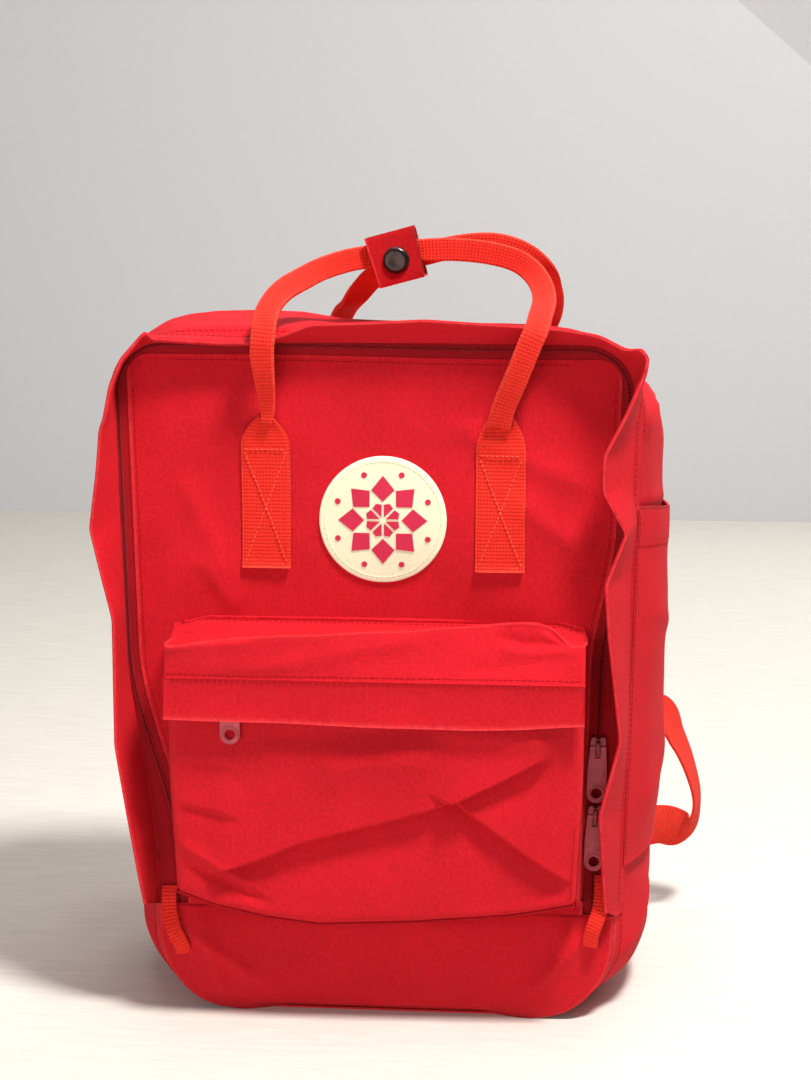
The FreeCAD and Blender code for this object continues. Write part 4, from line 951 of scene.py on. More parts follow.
def make_side_pockets():
    """A slip pocket on either side, with a hem at its mouth and stitched edges."""
    front, rear, mouth_z, hem_z = -61, 57, 276.5, 256.5
    zs = np.linspace(BASE_SEAM - 0.5, mouth_z, 84)
    hem_row = int(np.argmin(abs(zs - hem_z - 0.5)))
    for name, way in (("left", -1), ("right", 1)):
        y, z = np.meshgrid(np.linspace(front, rear, 68), zs)
        rise = np.interp(y, (-62, 5, 57), (289.0, 279.0, 277.0)) - mouth_z
        z = z + rise * (z - BASE_SEAM) / (mouth_z - BASE_SEAM)
        full = within(y, front, rear, 22) * ease((z - BASE_SEAM) / 36)
        off = (2.0 + 3.2 * full + ripple(y, z, 60, 90 + way) * 0.9 * full
               + ridges(y, z, ((-50, 230), (20, 206), 1.6, 7), ((-46, 120), (30, 150), 1.4, 8))
               + 0.5 * ease((z - rise - hem_z) / 1.5))
        grid = points_of(way * (half_at(y, z, way) + off), y, z)
        normals = lay("side_pocket_cloth_" + name, grid, 1.2, "bag_body", "canvas",
                      "side_pocket_" + name, way > 0, peak(zs, 276, 1.2)[:, None])
        stitches("side_pocket_hem_" + name, grid[hem_row, 1:-1], normals[hem_row, 1:-1],
                 "bag_body")
        for edge, column in (("front", 1), ("rear", -2)):
            stitches("side_pocket_%s_%s" % (edge, name), grid[2:-2, column],
                     normals[2:-2, column], "bag_body")


# ---------------------------------------------------------------- back and inside

def back_y(x, z):
    """The face of the back panel, without its wrinkles."""
    free = ease((134 - abs(x)) / 16) * within(z, 0, REAR_TOP, 16)
    return BACK_FACE + 3.0 * np.cos(x / 190 * np.pi) * free


def make_back_panel():
    """The back panel, narrower where its corners are round."""
    zs = np.concatenate([np.linspace(0, 20, 8), np.linspace(24, REAR_TOP, 130)])[:, None]
    across = np.sin(np.linspace(-1, 1, 101) * np.pi / 2 * 0.8) / math.sin(np.pi / 2 * 0.8)
    radius = np.where(across < 0, *corner_radii(BACK))
    half = (half_width(BACK_HALF, zs) - rounding(BASE_CORNER - zs, BASE_CORNER)
            - rounding(zs - REAR_TOP + radius, radius))
    x, z = np.broadcast_arrays(half * across, zs)
    free = ease((half - abs(x)) / 16) * within(z, 0, REAR_TOP, 16)
    y = BACK_FACE + free * (3.0 * np.cos(x / 190 * np.pi) + ripple(x, z, 110, 43) * 1.2)
    lay("back_cloth", points_of(x, y, z), 1.2, "bag_body", "canvas", "back_panel",
        wear=0.5 * (abs(across) > 0.985))


def make_binding():
    """The tape round the inside of the back seam."""
    half_way, inset = REAR_TOP / 2, 2.0
    top = ring_line(BACK, half_way, REAR_TOP - inset, (42, 42), (60, 12, 60), inset)
    foot = ring_line(BACK, half_way, inset, (43, 43), (60, 20, 60), inset)[::-1]
    loop = np.concatenate([top, foot[1:-1], top[:1]])[:, None]
    grid = points_of(loop[..., 0], np.linspace(55.2, 64.6, 7), loop[..., 1])
    lay("binding_tape", grid, 0.9, "bag_body", "lining", "seam_binding")


def make_sleeve():
    """The sleeve for the seat pad, with two round lower corners and a stitched mouth."""
    half, low, high, corner = 121.0, 12.0, 300.0, 20.0
    xs, gx = wall_map(80, -half, half, 0.05)
    zs, gz = wall_map(90, low, high, 0.05, both=False)
    x, z = np.meshgrid(xs, zs)
    out = np.minimum(gx[None], gz[:, None])
    y = 64.9 - out * 12.0 - ripple(x, z, 90, 51) * 0.25 * out
    x = x * (1 - rounding(low + corner - z, corner) / half)
    grid = points_of(x, y, z)
    lay("sleeve_cloth", grid, 1.0, "bag_body", "lining", "pad_sleeve", True,
        peak(zs, high, 2)[:, None])
    stitches("sleeve_hem", grid[-4, 6:-6] + FORWARD * 0.1, FORWARD, "bag_body", slot="lining")


def make_label():
    """The blank name label: stitched round its edge, with two stitched lines to write on."""
    x, z = np.meshgrid(np.linspace(-30, 30, 40), np.linspace(232, 267, 26))
    grid = points_of(x, 52.25 - 0.12 * ripple(x, z, 30, 55), z)
    lay("label_face", grid, 0.45, "bag_body", "label_cloth", "name_label", True)
    rim = np.concatenate([grid[2, 2:-2], grid[2:-2, -3], grid[-3, 2:-2][::-1],
                          grid[2:-2, 2][::-1]])
    stitches("label_stitch", rim, FORWARD, "bag_body", slot="label_cloth")
    for number, height in enumerate((243, 250)):
        stitches("label_line_%d" % number, points_of(np.linspace(-22, 22, 30), 52.1, height),
                 FORWARD, "bag_body", slot="label_cloth", pitch=1.2, length=1.25, width=0.3)


def apply_modifiers(thing):
    """Keep the result of the modifiers as the mesh."""
    graph = bpy.context.evaluated_depsgraph_get()
    mesh = bpy.data.meshes.new_from_object(thing.evaluated_get(graph))
    thing.modifiers.clear()
    thing.data = mesh


def swell(thing, voxel, pressure, cap):
    """Blow a closed mesh up a little by a cloth simulation, and keep the result."""
    remesh = thing.modifiers.new("Even", "REMESH")
    remesh.mode = "VOXEL"
    remesh.voxel_size = voxel * MM
    apply_modifiers(thing)
    rest = np.array([v.co for v in thing.data.vertices])
    soft = thing.modifiers.new("Cloth", "CLOTH")
    soft.settings.use_pressure = True
    soft.settings.uniform_pressure_force = pressure
    soft.settings.effector_weights.gravity = 0
    soft.settings.quality = 4
    scene = bpy.context.scene
    scene.frame_start, scene.frame_end = 1, 20
    for number in range(1, 21):
        scene.frame_set(number)
    moved = bpy.data.meshes.new_from_object(
        thing.evaluated_get(bpy.context.evaluated_depsgraph_get()))
    step = np.array([v.co for v in moved.vertices]) - rest
    size = np.linalg.norm(step, axis=1, keepdims=True)
    points = rest + step * np.minimum(1, cap * MM / np.maximum(size, 1e-9))
    thing.modifiers.clear()
    thing.data.vertices.foreach_set("co", points.ravel())
    scene.frame_set(1)
    thing.modifiers.new("Smooth", "SUBSURF").levels = 1
    apply_modifiers(thing)
    thing.data.shade_smooth()


def make_seat_pad():
    """The foam seat pad: a slab with round corners whose skin swells a little."""
    half, tall, middle, corner = 118.3, 149.7, 164.5, 20.0
    x, z = np.meshgrid(np.linspace(-half, half, 60), np.linspace(middle - tall, middle + tall, 76))
    over_x = np.clip(abs(x) - (half - corner), 0, corner)
    over_z = np.clip(abs(z - middle) - (tall - corner), 0, corner)
    fit = np.maximum(over_x, over_z) / np.maximum(np.hypot(over_x, over_z), 1e-6)
    bent = (over_x > 0) & (over_z > 0)
    x = np.where(bent, np.sign(x) * (half - corner + over_x * fit), x)
    z = np.where(bent, middle + np.sign(z - middle) * (tall - corner + over_z * fit), z)
    pad = cloth("seat_pad_foam", points_of(x, 56.4, z), 7.2, True)
    swell(pad, 5.0, 2.6, 1.0)
    place(pad, "seat_pad", "foam", "seat_pad")


# ---------------------------------------------------------------- badge

# Height of the middle of the badge.
BADGE_HEIGHT = 281.0


def make_badge():
    """A round cloth badge with a domed rim and a ring of stitches."""
    radii = np.array([0.01, 8, 16, 22, 27, 30, 31.5, 33.2, 34.1, 34.3, 34.3, 33.6, 0.01])[:, None]
    offs = np.array([1.5, 1.5, 1.5, 1.5, 1.5, 1.45, 1.4, 1.45, 1.2, 0.8, 0.2, 0.0, 0.0])[:, None]
    turns = np.linspace(0, 2 * np.pi, 121)
    x, z = radii * np.cos(turns), BADGE_HEIGHT + radii * np.sin(turns)
    grid = points_of(x, front_y(x, z) - offs, z)
    disc = make_mesh("badge_disc", grid.reshape(-1, 3), strips(*x.shape),
                     np.stack([x, z], axis=-1).reshape(-1, 2) * MM,
                     np.broadcast_to(peak(radii, 34.0, 0.8), x.shape))
    place(disc, "front_panel", "badge_print", "badge")
    x, z = 31.4 * np.cos(turns), BADGE_HEIGHT + 31.4 * np.sin(turns)
    stitches("badge_stitch", points_of(x, front_y(x, z) - 1.4, z), FORWARD, "front_panel",
             "badge_print", "badge_print", pitch=3.0, length=2.2, width=0.5)


def make_badge_print():
    """A plain eight-pointed quilt star: diamonds, petals inside them and dots between them."""
    half_turn = math.pi / 8
    diamond = [(9.6, 0), (17.5, -half_turn), (24.5, 0), (17.5, half_turn)]
    petal = [(1.4, half_turn), (8.6, half_turn - 0.34), (9.8, half_turn), (8.6, half_turn + 0.34)]
    shapes = []
    for turn in np.arange(8) * 2 * half_turn:
        for shape in (diamond, petal):
            shapes.append([(r * math.cos(turn + a), r * math.sin(turn + a)) for r, a in shape])
        dot = 26.2 * math.cos(turn + half_turn), 26.2 * math.sin(turn + half_turn)
        shapes.append(arc_points(*dot, 1.7, 0, 360, 15)[:-1])
    points, faces = [], []
    for shape in shapes:
        centre = np.mean(shape, axis=0)
        x, z = (centre + (np.array(shape) - centre) * 0.93 + (0, BADGE_HEIGHT)).T
        start, count = len(points), len(shape)
        for lift in (1.85, 1.35):
            points.extend(points_of(x, front_y(x, z) - lift, z))
        faces.append(tuple(range(start, start + count)))
        for i in range(start, start + count):
            j = start + (i + 1 - start) % count
            faces.append((j, i, count + i, count + j))
    layer = make_mesh("badge_print", points, faces, smooth=False)
    place(layer, "front_panel", "badge_print", finish="badge_ink")


def arc_points(x, z, radius, start, end, count):
    """Points on an arc between two angles in degrees."""
    return [(x + radius * math.cos(math.radians(a)), z + radius * math.sin(math.radians(a)))
            for a in np.linspace(start, end, count)]


# ---------------------------------------------------------------- webbing

# Half the width of a folded handle and its thickness, and how far its ends are from the middle.
GRIP_HALF, GRIP_THICKNESS = 6.4, 3.6
HANDLE_PLACE = 63


def folded_section():
    """Webbing folded in half lengthwise: a flat band with a fold on one side and two edges on
    the other."""
    half, thick = GRIP_HALF, GRIP_THICKNESS / 2
    return np.array([(half - 0.6, thick), (half - 1.5, thick), (0, thick), (1.5 - half, thick),
                     (0.5 - half, thick), (0.1 - half, thick * 0.72), (0.1 - half, thick * 0.2),
                     (1.2 - half, 0.0), (0.1 - half, -thick * 0.2), (0.1 - half, -thick * 0.72),
                     (0.5 - half, -thick), (1.5 - half, -thick), (0, -thick), (half - 1.5, -thick),
                     (half - 0.6, -thick), (half - 0.1, -thick * 0.6), (half, 0.0),
                     (half - 0.1, thick * 0.6)])


# Wear round the folded section: most at its fold, some at its two edges.
GRIP_WEAR = np.array([0.5, 0.1, 0, 0.1, 0.5, 0.6, 0.3, 0, 0.3, 0.6, 0.5, 0.1, 0, 0.1, 0.5, 0.6,
                      0.7, 0.6, 0.5])


def make_handle(name, points, across, widths):
    """One handle: folded webbing that turns as it bends over the bag, and narrows at its necks.
    Widths gives places along it, from 0 to 1, and how wide it is there."""
    count = 150
    scale = np.interp(np.linspace(0, 1, count), *widths)[:, None] / (2 * GRIP_HALF)
    flat = folded_section()
    section = np.stack([flat[:, 0] * scale, flat[:, 1] * (1 + 0.3 * (1 - scale))], axis=-1)
    piece = tube(name + "_webbing", smooth_path(points, count), smooth_path(across, count),
                 section, GRIP_WEAR)
    place(piece, name, "webbing", name)


def make_handles():
    """Both handles, each from its points and the way its webbing faces there."""
    right, down, left = (1, 0, 0), (0, 0, -1), (-1, 0, 0)
    make_handle(
        "front_handle",
        [(-62, -70.5, 333), (-61.1, -71.5, 340), (-61.2, -74, 348), (-61.7, -78, 357.5),
         (-62.3, -81.5, 370), (-61.7, -82.5, 378.6), (-61, -79, 387.2), (-60, -68, 394.2),
         (-55.2, -50, 401.7), (-45.9, -32, 407.5), (-37.2, -18, 411.8), (-23.8, -9, 415.8),
         (-10, -5, 417.8), (2, -3.8, 419.2), (16, -3.6, 421), (34.5, -3.6, 421.6),
         (53, -3.8, 419.8), (67, -5.5, 416.3), (76, -10, 411), (82, -21, 404),
         (84.5, -44, 397.2), (83, -70, 390.9), (81.2, -81.5, 384.5), (77.7, -83, 376.4),
         (70.6, -79, 358.2), (64.3, -74, 342.8), (61.7, -70.5, 332)],
        [right] * 7 + [(1, 0, -0.15), (0.85, 0, -0.5), (0.6, 0, -0.8), (0.4, 0, -0.9),
                       (0.25, 0, -1), (0.2, 0, -1)] + [down] * 4
        + [(-0.3, 0, -0.95), (-0.6, 0, -0.8), (-0.85, 0, -0.5), (-1, 0, -0.15)] + [left] * 6,
        ((0, 0.077, 0.115, 0.154, 1), (5.8, 9, 10.8, 12.8, 12.8)))
    make_handle(
        "rear_handle",
        [(-63, 69.6, 333), (-60, 71.5, 342), (-50, 76.8, 357), (-41, 75, 371), (-34.5, 63, 382),
         (-28, 44, 388.5), (-21.5, 26, 396), (-12, 10, 405.5), (2, 4.4, 413.8), (24, 3.4, 420.5),
         (44, 3.4, 424), (60, 3.4, 423.5), (74, 5.5, 418), (84, 15, 408), (87, 32, 398),
         (88, 55, 388.5), (86, 71, 378), (80, 77, 366), (72, 74.5, 348), (63, 69.6, 333)],
        [right] * 5 + [(1, 0, 0.1), (0.9, 0, -0.4), (0.6, 0, -0.8), (0.3, 0, -1), (0.1, 0, -1)]
        + [down] * 2 + [(-0.5, 0, -0.8), (-0.8, 0, -0.5), (-1, 0, -0.2)] + [left] * 5,
        ((0, 0.05, 0.12, 0.88, 0.95, 1), (6.5, 10, 12.8, 12.8, 10, 6.5)))


def strap_patch(name, body, node, middle, low, high, width, face, way, gather=None):
    """Flat webbing sewn to the bag, with a folded end and box stitching. Face gives the depth
    of the cloth under it, and way is -1 at the front and 1 at the back. A gathered patch draws
    in to a neck from a height, to half its width there."""
    heights = np.linspace(low, high, 46)[:, None]
    parts = np.linspace(-1, 1, 21)
    pull_in = np.zeros(heights.shape)
    half = np.full(heights.shape, width / 2)
    top = high - 3
    if gather:
        neck_low, neck_half = gather
        pull_in = np.clip((heights - neck_low) / (high - neck_low), 0, 1) ** 1.9
        half = half + (neck_half - half) * pull_in
        top = neck_low - 1.5
    x, z = np.broadcast_arrays(middle + parts * half, heights)
    rounded = 0.9 * np.clip((abs(parts) - 0.9) / 0.1, 0, 1) ** 2
    thick = 1.9 + 1.0 * ease((low + 3.5 - z) / 1.0)
    wrinkle = 0.25 * ripple(x, z, 14, 7) + 1.1 * np.cos(parts * np.pi * 2.5) * pull_in
    y = face(x, z) + way * (thick - rounded + 2.2 * pull_in + wrinkle * 0.5)
    wear = 0.4 * (abs(parts) > 0.93) + 0.6 * (heights < low + 1.5)
    piece = cloth(name, points_of(x, y, z), 1.7, way < 0, wear, turned=True)
    place(piece, body, "webbing", node)
    left, right = middle - width / 2 + 1.8, middle + width / 2 - 1.8
    for label, start, end in (("row_low", (left, low + 2.2), (right, low + 2.2)),
                              ("row_high", (left, top), (right, top)),
                              ("cross_a", (left, low + 3), (right, top - 1)),
                              ("cross_b", (right, low + 3), (left, top - 1))):
        x, z = (np.linspace(a, b, 24) for a, b in zip(start, end))
        stitches(name + "_" + label, points_of(x, face(x, z) + way * 2.35, z), (0, way, 0), body,
                 "webbing_thread", "webbing", pitch=2.7, length=2.0, width=0.6)


def make_patches():
    """The patches of both handles, and the anchors and tabs of the shoulder straps."""
    low, high, width = 254, 337, 26.4
    for name, way, neck in (("left", -1, (320, 3.2)), ("right", 1, (318, 6.4))):
        strap_patch("front_patch_" + name, "front_panel", "handle_patch_front_" + name,
                    HANDLE_PLACE * way, low, high, width, front_y, -1, neck)
        strap_patch("rear_patch_" + name, "bag_body", "handle_patch_rear_" + name,
                    HANDLE_PLACE * way, low, high, width, back_y, 1, (320, 4.2))
        strap_patch("top_anchor_" + name, "bag_body", "strap_top_anchor_" + name, 24 * way,
                    310, 350, 26, back_y, 1)
        strap_patch("bottom_tab_" + name, "bag_body", "strap_bottom_tab_" + name, 112 * way,
                    33, 67, 30, back_y, 1)


def make_loops():
    """Narrow webbing loops at the lower front corners, slightly twisted."""
    left = [(-120.4, -67.0, 71), (-120.4, -70.0, 66), (-119.5, -73.5, 57), (-116.5, -76.5, 48),
            (-113.5, -75.5, 41), (-112.5, -73.0, 36), (-112.5, -70.5, 33)]
    right = [(120.4, -67.0, 84), (120.4, -69.0, 80), (120.4, -71.0, 74), (119.4, -74.5, 67),
             (117.0, -77.5, 60), (115.0, -76.5, 53), (114.5, -73.5, 47), (114.5, -70.5, 44)]
    count = 46
    for name, way, points in (("left", -1, left), ("right", 1, right)):
        turn = np.interp(np.linspace(0, 1, count), (0, 0.5, 1), (0.5 * way, -0.5 * way, -0.2 * way))
        across = points_of(np.cos(turn), np.sin(turn) * 0.6, np.sin(turn) * 0.5)
        piece = tube("base_loop_webbing_" + name, smooth_path(points, count), across,
                     rounded_section(8.4, 1.6, 0.6))
        place(piece, "bag_body", "webbing", "base_loop_" + name)


# ---------------------------------------------------------------- shoulder straps

# The far bend of a strap and the direction to it, outward and upward from the top anchor.
STRAP_BEND = np.array([79.0, -327.0])
STRAP_DOWN = STRAP_BEND / np.linalg.norm(STRAP_BEND)
# Depth of the straps at the back, and how far down a strap its adjuster is.
STRAP_LIFT = 69.2
ADJUSTER_PLACE = 215.0


class StrapPlane:
    """The plane that a shoulder strap lies in: its directions, and the run down to its bend."""

    def __init__(self, way, angle):
        self.top = np.array([way * 24.0, STRAP_LIFT, 330.0])
        bottom = np.array([way * 112.0, STRAP_LIFT, 50.0])
        self.length = np.linalg.norm(self.top - bottom)
        self.up = (self.top - bottom) / self.length
        sideways = np.array([way * self.up[2], 0, -way * self.up[0]])
        tilt = math.radians(angle)
        self.outward = sideways * math.cos(tilt) - FORWARD * math.sin(tilt)
        self.normal = np.cross(self.outward, self.up) * way
        self.along = self.outward * STRAP_DOWN[0] + self.up * STRAP_DOWN[1]
        self.across = self.outward * -STRAP_DOWN[1] + self.up * STRAP_DOWN[0]


def make_left_strap():
    """The left strap: flat webbing that runs down to a folded corner and back to its tab."""
    plane = StrapPlane(-1, 60.0)
    half_wide, count, columns = 12.8, 70, 11
    foot = np.array([0.0, -plane.length])
    back = (foot - STRAP_BEND) / np.linalg.norm(foot - STRAP_BEND)
    side_down, side_back = (np.array([-v[1], v[0]]) * half_wide for v in (STRAP_DOWN, back))
    corner = STRAP_BEND * 0.982
    parts = np.linspace(0, 1, count)[:, None]
    edges = []
    for sign in (1, -1):
        first, last = side_down * sign, foot - side_back * sign
        reach, _ = np.linalg.solve(np.array([STRAP_DOWN, -back]).T, last - first)
        fold = first + STRAP_DOWN * reach - corner
        fold = corner + fold * min(1.0, 19.0 / np.linalg.norm(fold))
        edges.append(np.concatenate([first * (1 - parts) + fold * parts,
                                     (fold * (1 - parts) + last * parts)[1:]]))
    weights = np.linspace(0, 1, columns)[None, :, None]
    flat = edges[0][:, None] * (1 - weights) + edges[1][:, None] * weights
    along = np.arange(len(flat)) / (count - 1)
    bow = np.where(along < 1, 3.0 * np.sin(np.pi * np.clip(along, 0, 1)),
                   2.0 * np.sin(np.pi * np.clip(along - 1, 0, 1)))
    lift = bow + np.where(along > 1, -1.1, 1.1) * ease(np.minimum(abs(along - 1) * 25, 1))
    grid = (plane.top + plane.outward * flat[..., :1] + plane.up * flat[..., 1:]
            + plane.normal * lift[:, None, None])
    grid[..., 1] = np.maximum(grid[..., 1], STRAP_LIFT - 0.3)
    grid = grid[flat[..., 0].mean(axis=1) > -2]
    piece = cloth("strap_webbing_left", grid, 1.7,
                  wear=0.5 * (abs(np.linspace(-1, 1, columns)) > 0.9), turned=True)
    place(piece, "strap_left", "webbing", "shoulder_strap_left")
    normals = normals_of(grid)
    for label, column in (("a", 1), ("b", -2)):
        stitches("strap_edge_%s_left" % label, grid[2:-2, column], normals[2:-2, column],
                 "strap_left", "webbing_thread", "webbing", pitch=3.6)
    make_adjuster("left", plane)


def make_right_strap():
    """The right strap: it turns edge on to the front, and folds back to its tab."""
    plane = StrapPlane(1, 26.0)
    points = [plane.top + plane.along * step for step in (-4, 72, 143, ADJUSTER_PLACE)]
    points += [(158.0, 93, 134.0), (168.6, 98, 115.5), (176.6, 102, 96.0), (181.5, 105, 76.0),
               (179.5, 105, 60.0), (171.5, 100, 56.0), (160.5, 92, 61.0), (148.0, 82, 62.0),
               (130.0, 73.5, 54.0), (112.0, 69.6, 50.0)]
    across = [(0.95, 0, 0.3), (0.88, 0.2, 0.4), plane.across, plane.across, (0.5, 0.8, 0.3),
              (0.32, 0.94, 0.1), (0.24, 0.97, 0.0), (0.2, 0.95, -0.2), (0.1, 0.75, -0.65),
              (-0.1, 0.35, -0.95), (-0.1, 0.1, -1), (0, 0, -1), (0, 0, -1), (0, 0, -1)]
    wear = np.zeros(17)
    wear[[0, 4, 8, 12]] = 0.4
    piece = tube("strap_webbing_right", smooth_path(points, 150), smooth_path(across, 150),
                 rounded_section(25.6, 1.8, 0.8), wear)
    place(piece, "strap_right", "webbing", "shoulder_strap_right")
    make_adjuster("right", plane)


def make_adjuster(side, plane):
    """A ladder lock that the strap runs through: two rounded sides, a raised bar at either end
    and a lower bar in the middle."""
    bow = math.sin(math.pi * ADJUSTER_PLACE / 336.0) * 3.0
    middle = plane.top + plane.along * ADJUSTER_PLACE + plane.normal * (bow * 0.4)
    axes = np.array([unit(plane.across), plane.along, plane.normal])
    wide, long, ledge = 14.9, 7.1, 1.2
    bars = [("side_" + label, (x, -long - ledge, 0), (x, long + ledge, 0), (5.2, 2.8, 1.0))
            for label, x in (("a", -wide), ("b", wide))]
    bars += [("bar_" + label, (-wide, y, lift), (wide, y, lift), (1.5, height, 0.6))
             for label, y, lift, height in (("a", -long, 2.3, 3.4), ("b", long, 2.3, 3.4),
                                            ("c", 0, -2.3, 4.2))]
    steps = np.linspace(0, 1, 9)[:, None]
    for label, start, end, section in bars:
        path = middle + np.array(start) @ axes * (1 - steps) + np.array(end) @ axes * steps
        piece = tube("adjuster_%s_%s" % (label, side), path, plane.normal,
                     rounded_section(*section))
        place(piece, "adjuster_" + side, "adjuster_plastic",
              "strap_adjuster_" + side if label == "side_a" else None)


# ---------------------------------------------------------------- keeper and its press stud

# The keeper's tilt, middle and directions, and how far below its middle the press stud is.
KEEPER_TILT = math.radians(15)
KEEPER_MIDDLE = np.array([2.0, 0.0, 417.4])
KEEPER_ALONG = np.array([math.cos(KEEPER_TILT), 0, math.sin(KEEPER_TILT)])
KEEPER_UP = np.array([-math.sin(KEEPER_TILT), 0, math.cos(KEEPER_TILT)])
SNAP_DROP = 1.6


def keeper_cloth(name, profile, body, node, flip, seed, flare=0.0):
    """A leaf of the keeper from a profile of (depth, height) points, wavy at its edges. A flared
    leaf is wider at its top and curls at its sides."""
    profile = smooth_path(profile, 40) * (1, 0.94)
    depth, height = profile.T
    parts = np.linspace(-1, 1, 22)[:, None]
    wave = ripple(height + parts * 9, depth, 18, seed) * 0.25
    along = parts * 13.4 + flare * parts * height / 15
    curl = 0.5 * parts * parts * (flare > 0)
    grid = (KEEPER_MIDDLE + KEEPER_ALONG * along[..., None] + KEEPER_UP * height[:, None]
            - FORWARD * (depth + wave - curl)[..., None])
    piece = cloth(name, grid, 1.1, flip, 0.8 * (abs(parts) > 0.93))
    # The keeper's leaves take the darker copy of the canvas: painted shade.
    place(piece, body, "canvas", node, "canvas_keeper_shaded")


def lathe(name, profile, body, node, slot):
    """A turned piece about the middle of the press stud, from (radius, depth) points."""
    radius, depth = np.array(profile, float).T[..., None]
    radius = np.maximum(radius, 0.01)
    turns = np.linspace(0, 2 * np.pi, 49)[:, None, None]
    middle = KEEPER_MIDDLE - KEEPER_UP * SNAP_DROP
    grid = (middle + (KEEPER_ALONG * np.cos(turns) + KEEPER_UP * np.sin(turns)) * radius
            - FORWARD * depth)
    wear = np.broadcast_to(peak(radius[:, 0], radius.max(), 0.5), grid.shape[:2])
    piece = make_mesh(name, grid.reshape(-1, 3), strips(*grid.shape[:2])[:, ::-1], None, wear)
    place(piece, body, slot, node)


def make_keeper():
    """The strip that holds the handles together, its two leaves and its press stud."""
    keeper_cloth("keeper_strip", [(-8.6, -14.6), (-4, -15.1), (3, -15.0), (6.4, -13.6), (7, -10),
                                  (7, 0), (7, 10), (6.4, 13.6), (3, 15.0), (-4, 15.2),
                                  (-9.6, 14.6)], "rear_handle", "keeper_wrap", True, 3)
    keeper_cloth("keeper_front_leaf", [(-11.0, 15.2), (-11.5, 12), (-11.6, 0), (-11.5, -12),
                                       (-11.2, -15.2)],
                 "keeper_outer_leaf", "keeper_outer_leaf", True, 5, flare=0.8)
    keeper_cloth("keeper_under_leaf", [(-7.4, -13.6), (-7.6, -8), (-7.6, 0), (-7.6, 6)],
                 "keeper_inner_leaf", "keeper_inner_leaf", False, 6)
    lathe("snap_cap_dome", [(0, -13.5), (2.6, -13.6), (4.6, -13.75), (5.9, -13.7), (6.8, -13.2),
                            (7.4, -12.4), (7.5, -11.7), (7.0, -11.4), (1.5, -11.35),
                            (1.5, -10.2)], "keeper_outer_leaf", "snap_cap", "snap_cap")
    lathe("snap_socket_ring", [(1.5, -10.25), (4.8, -10.2), (5.0, -9.9), (5.0, -9.2), (4.6, -8.8),
                               (3.4, -8.7), (2.6, -8.9), (2.3, -9.3), (2.3, -10.2)],
          "keeper_outer_leaf", "snap_socket", "snap_brass")
    lathe("snap_stud_post", [(0, -9.55), (1.2, -9.6), (1.9, -9.3), (2.0, -8.9), (1.7, -8.5),
                             (2.2, -8.35), (4.2, -8.2), (4.5, -7.9), (4.4, -7.65), (1.5, -7.6),
                             (1.5, -6.4), (4.3, -6.35), (4.4, -6.1), (0, -6.0)],
          "keeper_inner_leaf", "snap_stud", "snap_brass")


# ---------------------------------------------------------------- zip sliders and pulls

def plate(name, loops, thickness, origin, axes, bevel):
    """A flat plate with holes, from outlines in its own plane, with rounded rims. Its axes are
    the directions to its right, upward and forward."""
    curve = bpy.data.curves.new(name, "CURVE")
    curve.dimensions = "2D"
    curve.fill_mode = "BOTH"
    curve.extrude = (thickness / 2 - bevel) * MM
    curve.bevel_depth = bevel * MM
    curve.bevel_resolution = 2
    curve.offset = -bevel * MM
    for loop in loops:
        spline = curve.splines.new("POLY")
        spline.points.add(len(loop) - 1)
        for point, (x, z) in zip(spline.points, loop):
            point.co = (x * MM, z * MM, 0, 1)
        spline.use_cyclic_u = True
    outline = link(name, curve)
    mesh = bpy.data.meshes.new_from_object(
        outline.evaluated_get(bpy.context.evaluated_depsgraph_get()))
    bpy.data.objects.remove(outline)
    points = np.array([v.co for v in mesh.vertices]) / MM
    mesh.vertices.foreach_set("co", ((origin + points @ axes) * MM).ravel())
    mesh.update()
    thing = link(name, mesh)
    mesh.shade_smooth()
    edge = thing.modifiers.new("Edges", "EDGE_SPLIT")
    edge.split_angle = math.radians(40)
    apply_modifiers(thing)
    return thing


def make_pull(name, origin, right, up, body, eye):
    """A painted pull with a rimmed round hole at its free end. It hangs from a round eye on a
    post, or from a window on a bridge."""
    half, hole_z = 5.5, 5.5 - 31.0
    if eye:
        head = [(half, -3.0)] + arc_points(2.6, 0.2, 2.6, 0, 90, 6)
        window = arc_points(0, 0, 1.6, 0, 360, 17)[:-1]
    else:
        head = [(half, -14.0), (4.5, 1.0)]
        window = [(-1.5, -0.6), (1.5, -0.6), (1.5, -5.6), (-1.5, -5.6)]
    side = [(half, hole_z)] + head
    outline = (arc_points(0, hole_z, half, 180, 360, 21)[:-1] + side
               + [(-x, z) for x, z in side[::-1]])
    hole = arc_points(0, hole_z, half / 2, 0, 360, 25)[:-1]
    axes = np.array([right, up, np.cross(right, up)])
    piece = plate(name, [outline, hole, window], 1.0, origin, axes, 0.22)
    place(piece, body, "pull_metal", body)
    angles = np.linspace(0, 2 * np.pi, 33)
    ring = origin + points_of(3.9 * np.cos(angles), hole_z + 3.9 * np.sin(angles), 0.42) @ axes
    inward = unit(origin + up * hole_z - ring)
    rim = tube(name + "_rim", ring, inward, rounded_section(1.5, 0.5, 0.22))
    place(rim, body, "pull_metal")


